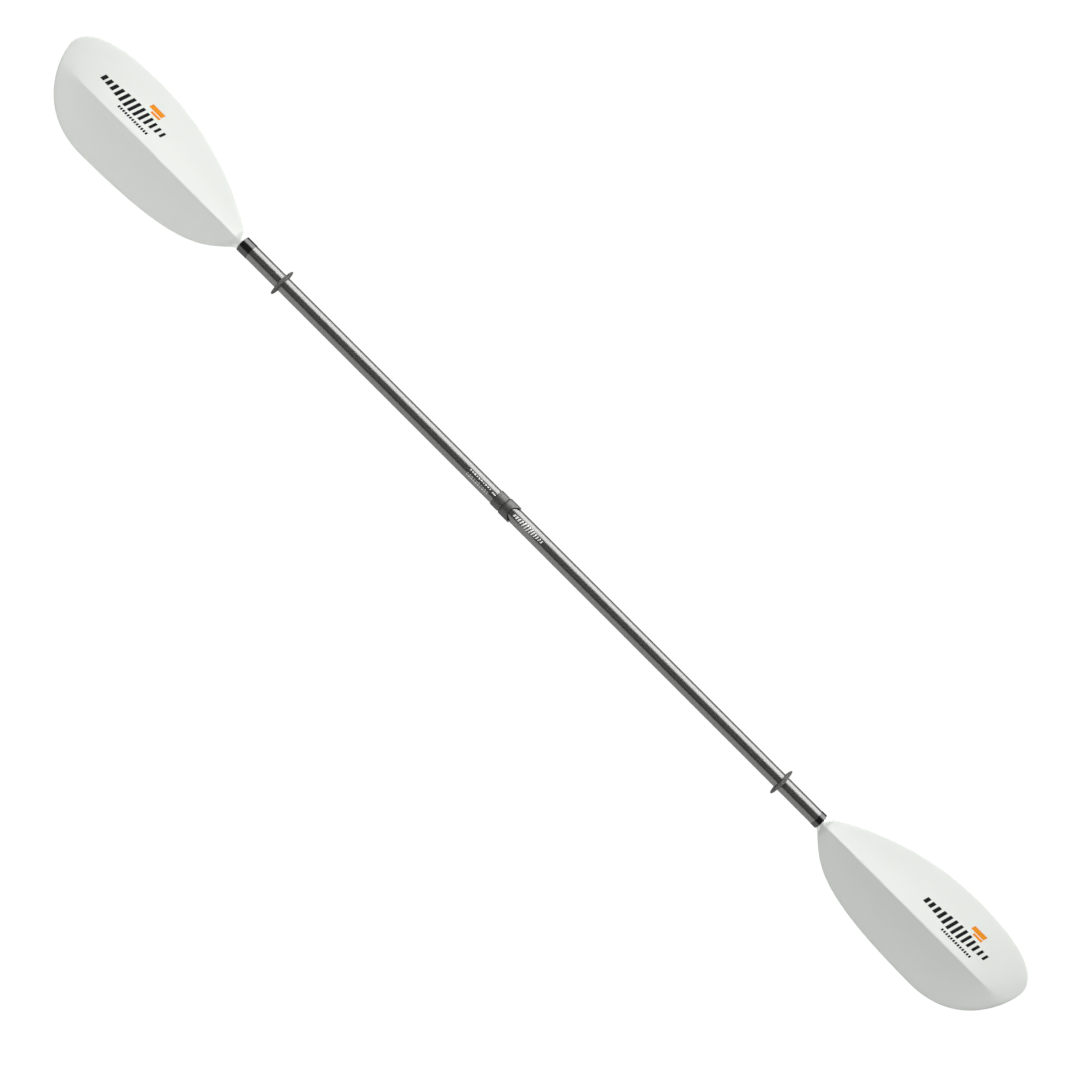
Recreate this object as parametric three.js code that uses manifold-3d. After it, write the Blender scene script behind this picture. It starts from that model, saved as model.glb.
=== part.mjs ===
// Two-piece kayak paddle with a turning feather collar and a take-down ferrule.
//
// Frame, in millimetres: the origin is on the shaft's axis at half of the paddle's length,
// +X runs along the shaft to the right blade, +Y to the blades' longer edges, and +Z out of
// the power faces. Along a blade, "out" is the distance from the end of its shaft tube.
import * as THREE from 'three';
import { mergeVertices } from 'three/addons/utils/BufferGeometryUtils.js';
import Module from 'manifold-3d';

const wasm = await Module();
wasm.setup();

// ---- Driving dimensions ---------------------------------------------------------------

const paddleLength = 2300;
const bladeLength = 448;
const shaftEnd = paddleLength / 2 - bladeLength;
const shaftRadius = 14.3;
const tubeBore = 12.9;
const gap = 0.3;
const gluedRadius = tubeBore - gap;

// Blade outline, as [out, across] points of two cubic curves for each edge.
const widestUpper = [287, 97];
const widestLower = [306, -89];
const neckRadius = 13.6;
const neckLength = 3.5;
const tipAcross = 35;
const upperEdge = [
  [[neckLength, neckRadius], [36, 36.6], [149, widestUpper[1]], widestUpper],
  [widestUpper, [371, widestUpper[1]], [bladeLength, 85], [bladeLength, tipAcross]],
];
const lowerEdge = [
  [[neckLength, -neckRadius], [47, -48], [62, widestLower[1]], widestLower],
  [widestLower, [420, widestLower[1]], [bladeLength, 15], [bladeLength, tipAcross]],
];
const throatEnd = 16;
const tipTurnStart = 380;
const tongueLength = 60;
const skinThickness = 3;
const ridgeHeight = 13.5;
const ridgeSharpness = 1.35;
const ridgeFade = 6;
const ribDepth = 18;
const ribReach = 360;
const ribHalfWidth = 14;
const spoonRise = 12;
const spoonSag = 13.4;

// Ferrule: the seam between the two halves, and the collars on both sides of it.
const seam = -67.5;
const seamHalfGap = 0.2;
const spigotLength = 2 * Math.abs(seam);
const spigotRadius = 11.2;
const spigotBore = 8;
const spigotGluedStart = -150;
const runningGap = 0.25;
const socketBore = spigotRadius + runningGap;
const sleeveBore = socketBore + 0.1;
const sleeveSeat = shaftRadius + 0.2;
const liningRadius = tubeBore - 0.2;
const dialStart = -86.5;
const dialEnd = seam - seamHalfGap;
const dialRadius = 15.8;
const sleeveStart = seam + seamHalfGap;
const sleeveEnd = -40.5;
const sleeveRadius = 16.85;
const vGrooveRadius = 14.5;
const scallopDepth = 12.8;
const scallopHalfWidth = 14.8;
const rightTubeStart = -55.8;

// Latch: a snap ring in the sleeve that drops into the spigot's groove, and its button.
const latchPlace = -61.5;
const latchWire = 1.4;
const latchRingRadius = 10.4;
const latchGrooveRadius = 10.1;
const latchGrooveWidth = 2;
const latchRoom = 14.2;
const buttonTop = 17.8;
const buttonBottom = 15;
const buttonSize = [7.2, 12.4];
const pocketFloor = 13;
const wedgeTip = 12.3;
const wedgeThickness = 1.2;
const springPlace = [-59.3, 4.3];
const springFloor = 12;
const springBoreRadius = 1.4;

// Click detent between the spigot and the feather collar, and the collar's retaining ring.
const clickPlace = -81.8;
const clickWidth = 4.4;
const clickStep = 15;
const clickLimit = 60;
const clickRoom = 13.3;
const leafRing = [12.2, 12.9];
const nibRadius = 0.9;
const nibPlace = 11.9;
const collarRibHalfWidth = 1.5;
const retainerPlace = -72.2;
const retainerGrooveRadius = 10.3;
const retainerRadius = 12.6;
const retainerThickness = 1;
const counterboreRadius = 12.9;

// The sleeve's two keys and the feather collar's slots for them.
const keyHalfWidth = 2;
const keyReach = 3.2;
const keySpan = [12, 14.1];

// Seal ring and float plugs.
const sealPlace = -42.8;
const sealGroove = { width: 2.4, radius: 9.6 };
const sealRingRadius = 10.55;
const sealWireRadius = 0.8;
const plugLength = 25;
const leftPlugStart = -185;
const rightPlugStart = 85;

// Drip rings, with a thin disc on a short hub, and the bands at the shaft tubes' blade ends.
const dripPlace = 606;
const dripRadius = 26.5;
const dripHubRadius = 16.2;
const dripHubHalfLength = 3;
const dripDisc = [[1.2, 17.8], [0.75, dripRadius]];
const bandBore = shaftRadius + 0.15;
const bandRadius = 14.85;
const leftBandLength = 22;
const rightBandLength = 11;

const looks = {
  blade: new THREE.MeshStandardMaterial({ color: 0xf0f3ee, roughness: 0.45 }),
  shaft: new THREE.MeshStandardMaterial({ color: 0x2b2b2a, roughness: 0.3 }),
  band: new THREE.MeshStandardMaterial({ color: 0x141414, roughness: 0.2 }),
  collar: new THREE.MeshStandardMaterial({ color: 0x3c3c3b, roughness: 0.6 }),
  ferrule: new THREE.MeshStandardMaterial({ color: 0x1d1e20, roughness: 0.4 }),
  rubber: new THREE.MeshStandardMaterial({ color: 0x3f403f, roughness: 0.8 }),
  steel: new THREE.MeshStandardMaterial({ color: 0xb4b8bc, roughness: 0.3, metalness: 1 }),
  foam: new THREE.MeshStandardMaterial({ color: 0xd6d2c4, roughness: 0.9 }),
};

// ---- Geometry helpers -----------------------------------------------------------------

// A closed profile of [x, radius] points, run once round with the outside first from low x
// to high x, turned about the X axis.
function turned(profile, segments) {
  const loop = [...profile, profile[0]].map(([x, radius]) => new THREE.Vector2(radius, x));
  return new THREE.LatheGeometry(loop, segments).rotateZ(-Math.PI / 2);
}

function tube(start, end, inner, outer, segments) {
  return turned([[start, outer], [end, outer], [end, inner], [start, inner]], segments);
}

// A rod along X at a height above the shaft's axis.
function rod(radius, start, end, up, segments) {
  const geometry = new THREE.CylinderGeometry(radius, radius, end - start, segments);
  return geometry.rotateZ(-Math.PI / 2).translate((start + end) / 2, 0, up);
}

function block(low, high) {
  const size = high.map((value, axis) => value - low[axis]);
  const middle = high.map((value, axis) => (value + low[axis]) / 2);
  return new THREE.BoxGeometry(...size).translate(...middle);
}

// A flat outline in the YZ plane, thickened along X.
function acrossShaft(shape, start, end, curveSegments) {
  const options = { depth: end - start, bevelEnabled: false, curveSegments };
  const toShaft = new THREE.Matrix4().makeBasis(
    new THREE.Vector3(0, 1, 0), new THREE.Vector3(0, 0, 1), new THREE.Vector3(1, 0, 0));
  return new THREE.ExtrudeGeometry(shape, options).applyMatrix4(toShaft).translate(start, 0, 0);
}

// A flat ring with its opening facing -Z.
function openRing(inner, outer, openingDegrees) {
  const half = THREE.MathUtils.degToRad(openingDegrees / 2);
  const from = -Math.PI / 2 + half;
  const to = 3 * Math.PI / 2 - half;
  const shape = new THREE.Shape();
  shape.absarc(0, 0, outer, from, to, false);
  shape.absarc(0, 0, inner, to, from, true);
  shape.closePath();
  return shape;
}

function solid(geometry) {
  const bare = geometry.clone();
  bare.deleteAttribute('normal');
  bare.deleteAttribute('uv');
  const merged = mergeVertices(bare, 1e-4);
  return new wasm.Manifold(new wasm.Mesh({
    numProp: 3,
    vertProperties: new Float32Array(merged.attributes.position.array),
    triVerts: new Uint32Array(merged.index.array),
  }));
}

function geometryOf(manifold) {
  const mesh = manifold.getMesh();
  const geometry = new THREE.BufferGeometry();
  geometry.setAttribute('position', new THREE.BufferAttribute(mesh.vertProperties, 3));
  geometry.setIndex(new THREE.BufferAttribute(mesh.triVerts, 1));
  geometry.computeVertexNormals();
  return geometry;
}

function cut(geometry, cutters) {
  return geometryOf(cutters.reduce((rest, cutter) => rest.subtract(solid(cutter)), solid(geometry)));
}

function join(geometries) {
  return geometryOf(geometries.map(solid).reduce((whole, piece) => whole.add(piece)));
}

// A skin over rings of equal length, closed by a flat fan at both ends.
function loft(rings, flipped) {
  const count = rings[0].length;
  const triangles = [];
  const face = (a, b, c) => triangles.push(...(flipped ? [a, c, b] : [a, b, c]));
  for (let ring = 0; ring + 1 < rings.length; ring += 1) {
    for (let point = 0; point < count; point += 1) {
      const next = (point + 1) % count;
      const [a, b] = [ring * count + point, ring * count + next];
      face(a, b + count, b);
      face(a, a + count, b + count);
    }
  }
  const last = (rings.length - 1) * count;
  for (let point = 1; point + 1 < count; point += 1) {
    face(0, point, point + 1);
    face(last, last + point + 1, last + point);
  }
  const geometry = new THREE.BufferGeometry().setFromPoints(rings.flat());
  geometry.setIndex(triangles);
  geometry.computeVertexNormals();
  return geometry;
}

function part(name, geometry, look) {
  const mesh = new THREE.Mesh(geometry, look.clone());
  mesh.name = name;
  return mesh;
}

// ---- Blades ---------------------------------------------------------------------------

function edgeCurve(points) {
  return new THREE.CubicBezierCurve(...points.map(([out, across]) => new THREE.Vector2(out, across)));
}

const edgeCurves = { upper: upperEdge.map(edgeCurve), lower: lowerEdge.map(edgeCurve) };

// How far across an edge lies at a distance out, by halving the curve's parameter range.
function edgeAcross(curves, out) {
  const curve = curves.find((piece) => out <= piece.v3.x) ?? curves.at(-1);
  let [low, high] = [0, 1];
  for (let step = 0; step < 30; step += 1) {
    const middle = (low + high) / 2;
    if (curve.getPoint(middle).x < out) low = middle;
    else high = middle;
  }
  return curve.getPoint(low).y;
}

// Height of the blade's middle surface: the spoon curve, and the ridge that folds it. The faces
// beside the ridge keep their slope where the blade is narrow.
function middleHeight(out, across, upper, lower) {
  const along = out / bladeLength;
  const spoon = spoonRise * along - 4 * spoonSag * along * (1 - along);
  const above = Math.max(upper, neckRadius);
  const below = Math.max(-lower, neckRadius);
  const widths = [above / widestUpper[1], -below / widestLower[1]];
  const [reach, width] = across > 0 ? [above, widths[0]] : [below, widths[1]];
  const drop = width * (1 - (1 - Math.min(Math.abs(across) / reach, 1)) ** ridgeSharpness);
  return spoon + ridgeHeight * (1 - along ** ridgeFade) * ((widths[0] + widths[1]) / 2 - drop);
}

// The rib that runs down the middle of the back face and fades along the blade.
function ribHeight(out, across) {
  const fade = Math.max(1 - out / ribReach, 0) ** 2;
  return ribDepth * fade * Math.exp(-((across / ribHalfWidth) ** 2));
}

// One closed section: front face from the lower to the upper edge, then the back face.
function bladeSection(side, out, points) {
  const upper = out <= neckLength ? neckRadius : edgeAcross(edgeCurves.upper, out);
  const lower = out <= neckLength ? -neckRadius : edgeAcross(edgeCurves.lower, out);
  const middle = tipAcross * THREE.MathUtils.smoothstep(out, tipTurnStart, bladeLength);
  const flatness = THREE.MathUtils.smoothstep(out, neckLength, throatEnd);
  return Array.from({ length: points }, (_, index) => {
    const angle = (index / points) * 2 * Math.PI;
    const across = middle + (Math.sin(angle) > 0 ? upper - middle : middle - lower) * Math.sin(angle);
    const edgeRound = Math.sqrt(1 - Math.sin(angle) ** 6);
    const face = Math.cos(angle) > 0 ? 1 : -1;
    const rib = face < 0 ? ribHeight(out, across) : 0;
    const skin = middleHeight(out, across, upper, lower) + face * edgeRound * skinThickness / 2 - rib;
    const round = neckRadius * Math.cos(angle);
    return new THREE.Vector3(side * (shaftEnd + out), across, THREE.MathUtils.lerp(round, skin, flatness));
  });
}

function tongueSection(side, out, points) {
  return Array.from({ length: points }, (_, index) => {
    const angle = (index / points) * 2 * Math.PI;
    const [across, up] = [gluedRadius * Math.sin(angle), gluedRadius * Math.cos(angle)];
    return new THREE.Vector3(side * (shaftEnd + out), across, up);
  });
}

function blade(side) {
  const points = 32;
  const bodySteps = 20;
  const tipSteps = 7;
  const bodyEnd = 400;
  const tipEnd = bladeLength - 0.05;
  const rings = [tongueSection(side, -tongueLength, points), tongueSection(side, gap, points)];
  rings.push(bladeSection(side, gap, points));
  for (let step = 0; step <= bodySteps; step += 1) {
    const out = neckLength + (bodyEnd - neckLength) * (step / bodySteps) ** 1.25;
    rings.push(bladeSection(side, out, points));
  }
  for (let step = 1; step <= tipSteps; step += 1) {
    const turn = (step / tipSteps) * Math.PI / 2;
    rings.push(bladeSection(side, bodyEnd + (tipEnd - bodyEnd) * Math.sin(turn), points));
  }
  return loft(rings, side < 0);
}

// ---- Shaft tubes, bands, drip rings and float plugs -------------------------------------

function shaftTube(start, end) {
  return tube(start, end, tubeBore, shaftRadius, 48);
}

function endBand(side, length) {
  const [inboard, outboard] = [shaftEnd - length, shaftEnd - gap];
  const [start, end] = side > 0 ? [inboard, outboard] : [-outboard, -inboard];
  return tube(start, end, bandBore, bandRadius, 48);
}

function dripRing() {
  const bore = shaftRadius + gap;
  const rightSide = [[dripHubHalfLength, bore], [dripHubHalfLength, dripHubRadius], ...dripDisc];
  const leftSide = rightSide.map(([x, radius]) => [-x, radius]);
  return turned([...leftSide, ...rightSide.reverse()], 48);
}

function floatPlug(start) {
  return rod(liningRadius, start, start + plugLength, 0, 32);
}

// ---- Left side of the ferrule -----------------------------------------------------------

// An outline that steps down into a groove and up again.
function groove(middle, width, floor, surface) {
  const [start, end] = [middle - width / 2, middle + width / 2];
  return [[start, surface], [start, floor], [end, floor], [end, surface]];
}

function spigot() {
  const tip = seam + spigotLength;
  const [noseLength, noseRadius] = [14, 9.8];
  const outline = turned([
    [spigotGluedStart, spigotBore],
    [spigotGluedStart, gluedRadius],
    [dialStart - gap, gluedRadius],
    [dialStart - gap, spigotRadius],
    ...groove(retainerPlace, retainerThickness + 0.4, retainerGrooveRadius, spigotRadius),
    ...groove(latchPlace, latchGrooveWidth, latchGrooveRadius, spigotRadius),
    ...groove(sealPlace, sealGroove.width, sealGroove.radius, spigotRadius),
    [tip - noseLength, spigotRadius],
    [tip, noseRadius],
    [tip, spigotBore],
  ], 32);
  return cut(outline, clickNotches());
}

function clickNotches() {
  const [start, end] = [clickPlace - clickWidth / 2, clickPlace + clickWidth / 2];
  const notches = [];
  for (let angle = -clickLimit; angle <= clickLimit; angle += clickStep) {
    const notch = rod(nibRadius + runningGap, start, end, nibPlace, 12);
    notches.push(notch.rotateX(THREE.MathUtils.degToRad(angle)));
  }
  return notches;
}

// The seal lies in its groove, just clear of the socket's bore.
function sealRing() {
  const ring = new THREE.TorusGeometry(sealRingRadius, sealWireRadius, 8, 32);
  return ring.rotateY(Math.PI / 2).translate(sealPlace, 0, 0);
}

function retainer() {
  const half = retainerThickness / 2;
  const shape = openRing(retainerGrooveRadius + 0.15, retainerRadius, 50);
  return acrossShaft(shape, retainerPlace - half, retainerPlace + half, 12);
}

// ---- Feather collar ----------------------------------------------------------------------

// Its outboard face is a raised rim that stands clear of the shaft tube's end. Inside, a rib
// between the click spring's two ends makes the spring turn with the collar.
function featherCollar() {
  const bore = spigotRadius + runningGap;
  const rimBore = shaftRadius + gap;
  const shoulder = retainerPlace - retainerThickness / 2 - gap;
  const outline = turned([
    [dialStart + 0.6, bore],
    [dialStart + 0.6, rimBore],
    [dialStart, rimBore],
    [dialStart, dialRadius - 0.4],
    [dialStart + 0.9, dialRadius],
    [dialEnd - 1.5, dialRadius],
    [dialEnd, vGrooveRadius],
    [dialEnd, counterboreRadius],
    [shoulder, counterboreRadius],
    [shoulder, bore],
    ...groove(clickPlace, clickWidth, clickRoom, bore).reverse(),
  ], 48);
  const halfLength = clickWidth / 2 + 0.2;
  const rib = block(
    [clickPlace - halfLength, -collarRibHalfWidth, -clickRoom - 0.5],
    [clickPlace + halfLength, collarRibHalfWidth, -nibPlace]);
  return join([cut(outline, keySlots()), rib]);
}

// The slots that the sleeve's two keys slide into.
function keySlots() {
  return keyBlocks(dialEnd - keyReach - gap, dialEnd + 1, gap);
}

// A pair of blocks on both sides of the shaft, in the keys' place, larger by a margin.
function keyBlocks(start, end, margin) {
  const [near, far] = [keySpan[0] - margin, keySpan[1] + margin];
  const halfWidth = keyHalfWidth + margin;
  return [[near, far], [-far, -near]].map(([low, high]) => block(
    [start, low, -halfWidth], [end, high, halfWidth]));
}

function clickSpring() {
  const halfWidth = clickWidth / 2 - gap;
  const [start, end] = [clickPlace - halfWidth, clickPlace + halfWidth];
  const leaf = acrossShaft(openRing(...leafRing, 36), start, end, 16);
  return join([leaf, rod(nibRadius, start, end, nibPlace, 12)]);
}

// ---- Right side of the ferrule -----------------------------------------------------------

function sleeve() {
  const body = turned([
    [sleeveStart, sleeveBore],
    [sleeveStart, vGrooveRadius],
    [sleeveStart + 2, sleeveRadius],
    [sleeveEnd - 1.8, sleeveRadius],
    [sleeveEnd - 0.5, sleeveRadius - 0.6],
    [sleeveEnd, sleeveRadius - 1.6],
    [sleeveEnd, sleeveSeat],
    [rightTubeStart - gap, sleeveSeat],
    [rightTubeStart - gap, sleeveBore],
    ...groove(latchPlace, latchGrooveWidth + 0.8, latchRoom, sleeveBore).reverse(),
  ], 48);
  const keys = keyBlocks(sleeveStart - keyReach, sleeveStart + 1, 0);
  return cut(join([body, ...keys]), [scallop(), buttonPocket(), ...springBores()]);
}

// The bite out of the sleeve's outboard end, through the front and the back.
function scallop() {
  const shape = new THREE.Shape();
  shape.absellipse(sleeveEnd, 0, scallopDepth, scallopHalfWidth, 0, 2 * Math.PI, false, 0);
  const height = 2 * sleeveRadius + 6;
  const options = { depth: height, bevelEnabled: false, curveSegments: 20 };
  return new THREE.ExtrudeGeometry(shape, options).translate(0, 0, -height / 2);
}

function buttonPocket() {
  const [halfLong, halfWide] = buttonSize.map((size) => size / 2 + gap);
  return block(
    [latchPlace - halfLong, -halfWide, -sleeveRadius - 3],
    [latchPlace + halfLong, halfWide, -pocketFloor]);
}

function springBores() {
  const [place, offset] = springPlace;
  return [-1, 1].map((side) => {
    const depth = 3;
    const bore = new THREE.CylinderGeometry(springBoreRadius, springBoreRadius, depth, 12);
    return bore.rotateX(Math.PI / 2).translate(place, side * offset, -springFloor - depth / 2);
  });
}

function snapRing() {
  const shape = openRing(latchRingRadius, latchRingRadius + latchWire, 24);
  return acrossShaft(shape, latchPlace - latchWire / 2, latchPlace + latchWire / 2, 14);
}

// The thumb pad is domed like the sleeve; its wedge points at the snap ring's opening.
function releaseButton() {
  const [long, wide] = buttonSize;
  const crown = Math.asin(wide / 2 / buttonTop);
  const pad = new THREE.Shape();
  pad.absarc(0, 0, buttonTop, -Math.PI / 2 - crown, -Math.PI / 2 + crown, false);
  pad.lineTo(wide / 2, -buttonBottom);
  pad.lineTo(-wide / 2, -buttonBottom);
  pad.closePath();
  const [rootHalfWidth, tipHalfWidth, rootDepth] = [2.2, 0.9, 0.5];
  const wedge = new THREE.Shape();
  wedge.moveTo(-rootHalfWidth, -buttonBottom - rootDepth);
  wedge.lineTo(rootHalfWidth, -buttonBottom - rootDepth);
  wedge.lineTo(tipHalfWidth, -wedgeTip);
  wedge.lineTo(-tipHalfWidth, -wedgeTip);
  wedge.closePath();
  return join([
    acrossShaft(pad, latchPlace - long / 2, latchPlace + long / 2, 8),
    acrossShaft(wedge, latchPlace - wedgeThickness / 2, latchPlace + wedgeThickness / 2, 1),
  ]);
}

// A coil spring that stands in its bore under the button, along Z.
function buttonSpring(side) {
  const [coilRadius, wireRadius, endGap] = [0.9, 0.2, 0.1];
  const [turns, steps] = [2.5, 12];
  const low = springFloor + wireRadius + endGap;
  const high = buttonBottom - wireRadius - endGap;
  const points = Array.from({ length: turns * steps + 1 }, (_, index) => {
    const angle = (index / steps) * 2 * Math.PI;
    const up = THREE.MathUtils.lerp(-high, -low, index / (turns * steps));
    return new THREE.Vector3(coilRadius * Math.cos(angle), coilRadius * Math.sin(angle), up);
  });
  const wire = new THREE.Shape().absarc(0, 0, wireRadius, 0, 2 * Math.PI, false);
  const extrudePath = new THREE.CatmullRomCurve3(points);
  const options = { steps: turns * steps, curveSegments: 3, extrudePath };
  const [place, offset] = springPlace;
  return new THREE.ExtrudeGeometry(wire, options).translate(place, side * offset, 0);
}

function socket() {
  const stop = seam + spigotLength + 1.5;
  const [stopLength, stopBore] = [6, 9];
  return turned([
    [rightTubeStart, liningRadius],
    [stop + stopLength, liningRadius],
    [stop + stopLength, stopBore],
    [stop, stopBore],
    [stop, socketBore],
    [rightTubeStart, socketBore],
  ], 32);
}

// ---- Assembly ----------------------------------------------------------------------------

function group(...members) {
  return new THREE.Group().add(...members);
}

function atPlace(mesh, place) {
  mesh.position.x = place;
  return mesh;
}

const leftHalf = group(
  part('left_blade', blade(-1), looks.blade),
  part('left_shaft', shaftTube(-shaftEnd, dialStart - gap), looks.shaft),
  part('left_end_band', endBand(-1, leftBandLength), looks.band),
  part('left_float_plug', floatPlug(leftPlugStart), looks.foam),
  part('ferrule_spigot', spigot(), looks.ferrule),
  part('spigot_seal_ring', sealRing(), looks.rubber),
  part('collar_retaining_ring', retainer(), looks.steel),
);

const featherCollarGroup = group(
  part('feather_collar', featherCollar(), looks.collar),
  part('click_spring', clickSpring(), looks.steel),
);

const rightHalf = group(
  part('right_blade', blade(1), looks.blade),
  part('right_shaft', shaftTube(rightTubeStart, shaftEnd), looks.shaft),
  part('right_end_band', endBand(1, rightBandLength), looks.band),
  part('right_float_plug', floatPlug(rightPlugStart), looks.foam),
  part('ferrule_socket', socket(), looks.ferrule),
  part('ferrule_sleeve', sleeve(), looks.collar),
  part('latch_snap_ring', snapRing(), looks.steel),
);

const releaseButtonGroup = group(
  part('release_button', releaseButton(), looks.ferrule),
  part('button_spring_upper', buttonSpring(1), looks.steel),
  part('button_spring_lower', buttonSpring(-1), looks.steel),
);

const dripRings = group(
  atPlace(part('left_drip_ring', dripRing(), looks.rubber), -dripPlace),
  atPlace(part('right_drip_ring', dripRing(), looks.rubber), dripPlace),
);

export default group(leftHalf, featherCollarGroup, rightHalf, releaseButtonGroup, dripRings);
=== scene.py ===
"""Two-piece kayak paddle: the finished surfaces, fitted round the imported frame.

Frame: the origin is on the shaft's axis at half of the paddle's length, +X runs along the shaft to
the right blade, +Y to the blades' longer edges, and +Z out of the power faces. Every size in this
file is in millimetres, and the modelling helpers turn it to Blender's metres.
"""

from __future__ import annotations

import logging
import math
from collections.abc import Callable, Iterator, Sequence
from contextlib import contextmanager
from dataclasses import dataclass, field, replace
from enum import Enum
from functools import cached_property, lru_cache

import bmesh
import bpy
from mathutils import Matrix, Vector


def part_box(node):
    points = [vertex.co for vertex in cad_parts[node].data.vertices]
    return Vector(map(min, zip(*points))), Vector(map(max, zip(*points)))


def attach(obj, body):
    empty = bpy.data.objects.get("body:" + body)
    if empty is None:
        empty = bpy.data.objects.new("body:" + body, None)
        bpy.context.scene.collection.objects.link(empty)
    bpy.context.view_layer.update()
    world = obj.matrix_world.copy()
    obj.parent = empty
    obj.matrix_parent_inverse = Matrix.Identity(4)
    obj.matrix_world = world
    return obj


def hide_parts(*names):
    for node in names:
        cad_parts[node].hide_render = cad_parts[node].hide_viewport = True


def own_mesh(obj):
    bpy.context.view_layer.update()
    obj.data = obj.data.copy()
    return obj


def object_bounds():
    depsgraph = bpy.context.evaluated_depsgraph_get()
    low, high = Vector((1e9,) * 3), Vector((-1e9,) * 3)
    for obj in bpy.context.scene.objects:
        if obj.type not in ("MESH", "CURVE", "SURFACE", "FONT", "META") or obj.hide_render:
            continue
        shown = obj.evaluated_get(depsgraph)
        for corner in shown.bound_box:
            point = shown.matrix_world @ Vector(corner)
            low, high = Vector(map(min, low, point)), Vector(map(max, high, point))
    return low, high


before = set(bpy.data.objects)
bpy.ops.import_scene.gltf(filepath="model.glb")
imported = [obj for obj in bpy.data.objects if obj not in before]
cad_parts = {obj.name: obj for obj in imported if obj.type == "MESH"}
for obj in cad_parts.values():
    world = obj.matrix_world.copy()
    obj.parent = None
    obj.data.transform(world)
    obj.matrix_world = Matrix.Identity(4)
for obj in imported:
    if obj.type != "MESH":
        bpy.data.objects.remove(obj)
CAD_LOW, CAD_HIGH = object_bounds()

LOG = logging.getLogger("paddle")
MM = 0.001
FULL_TURN = 2 * math.pi
ROUND_STEPS = 128
ROD_FLATS = 48
CORNER_FACES = 3
SMOOTH_ANGLE = math.radians(35)
WHITE = (1.0, 1.0, 1.0, 1.0)

MERGE_DISTANCE = MM / 200
TOUCHING = MM / 1000
BEVEL_ANGLE = math.radians(40)
BISECTIONS = 30

Point = tuple[float, float]
Triple = tuple[float, float, float]
Outline = list[Point]
Piece = bpy.types.Object
Socket = bpy.types.NodeSocket
Sockets = Sequence[Socket]


class Body(Enum):
    """The bodies of the frame that a piece can ride on."""

    LEFT_HALF = "left_half"
    FEATHER_COLLAR = "feather_collar"
    RIGHT_HALF = "right_half"
    RELEASE_BUTTON = "release_button"
    LEFT_DRIP_RING = "left_drip_ring"
    RIGHT_DRIP_RING = "right_drip_ring"


class Slot(Enum):
    """The record's material slots."""

    BLADE = "blade_nylon"
    SHAFT = "shaft_laminate"
    BAND = "end_band"
    FOAM = "closed_cell_foam"
    FERRULE = "ferrule_nylon"
    COLLAR = "collar_polymer"
    RUBBER = "soft_rubber"
    STEEL = "spring_steel"


class Carve(Enum):
    """How a second solid changes a piece."""

    CUT = "DIFFERENCE"
    JOIN = "UNION"
    TRIM = "INTERSECT"


class Reach(Enum):
    """The rays that a lamp answers to."""

    SHADING = "shading"
    GLOSS = "gloss"


# ---- Modelling helpers --------------------------------------------------------------------


def metres(*values: float) -> Vector:
    """Turns three lengths in millimetres to a vector in metres."""
    return Vector(values) * MM


def deselect() -> None:
    """Deselects every object."""
    bpy.ops.object.select_all(action="DESELECT")


def take_up(piece: Piece) -> None:
    """Makes a piece the one that operators act on.

    Args:
        piece: the object to select, alone.
    """
    deselect()
    piece.select_set(True)
    bpy.context.view_layer.objects.active = piece


@contextmanager
def editing(piece: Piece) -> Iterator[None]:
    """Holds a piece in edit mode, with nothing of it selected at the start.

    Args:
        piece: the mesh object to edit.
    """
    take_up(piece)
    bpy.ops.object.mode_set(mode="EDIT")
    bpy.ops.mesh.select_mode(type="VERT")
    bpy.ops.mesh.select_all(action="DESELECT")
    yield
    bpy.ops.object.mode_set(mode="OBJECT")


def pick(piece: Piece, wanted: Callable[[bmesh.types.BMVert], bool]) -> None:
    """Selects the vertices that pass a test, and no others.

    Args:
        piece: the object in edit mode.
        wanted: the test of one vertex.
    """
    mesh = bmesh.from_edit_mesh(piece.data)
    for vertex in mesh.verts:
        vertex.select = wanted(vertex)
    mesh.select_flush_mode()
    bmesh.update_edit_mesh(piece.data)


def settle(piece: Piece) -> None:
    """Puts a piece's place, turn and size into its mesh, so that its object is at the origin."""
    take_up(piece)
    bpy.ops.object.transform_apply(location=True, rotation=True, scale=True)


def change(piece: Piece, kind: str, **settings: object) -> None:
    """Adds a modifier to a piece and applies it.

    Args:
        piece: the object to change.
        kind: Blender's name for the modifier.
        settings: the modifier's settings.
    """
    take_up(piece)
    modifier = piece.modifiers.new(kind.lower(), kind)
    for key, value in settings.items():
        setattr(modifier, key, value)
    bpy.ops.object.modifier_apply(modifier=modifier.name)


def smooth(piece: Piece) -> None:
    """Shades a piece smooth, except over its sharp edges."""
    take_up(piece)
    bpy.ops.object.shade_smooth_by_angle(angle=SMOOTH_ANGLE)


def select_everything() -> None:
    """Selects all of the piece in edit mode."""
    bpy.ops.mesh.select_all(action="SELECT")


def close_up(piece: Piece) -> None:
    """Merges a piece's doubled vertices, then turns its faces outwards.

    Args:
        piece: the closed mesh object.
    """
    with editing(piece):
        select_everything()
        bpy.ops.mesh.remove_doubles(threshold=MERGE_DISTANCE)
        bpy.ops.mesh.normals_make_consistent(inside=False)


def complete(piece: Piece) -> None:
    """Closes a modelled piece up and shades it."""
    close_up(piece)
    smooth(piece)


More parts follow.
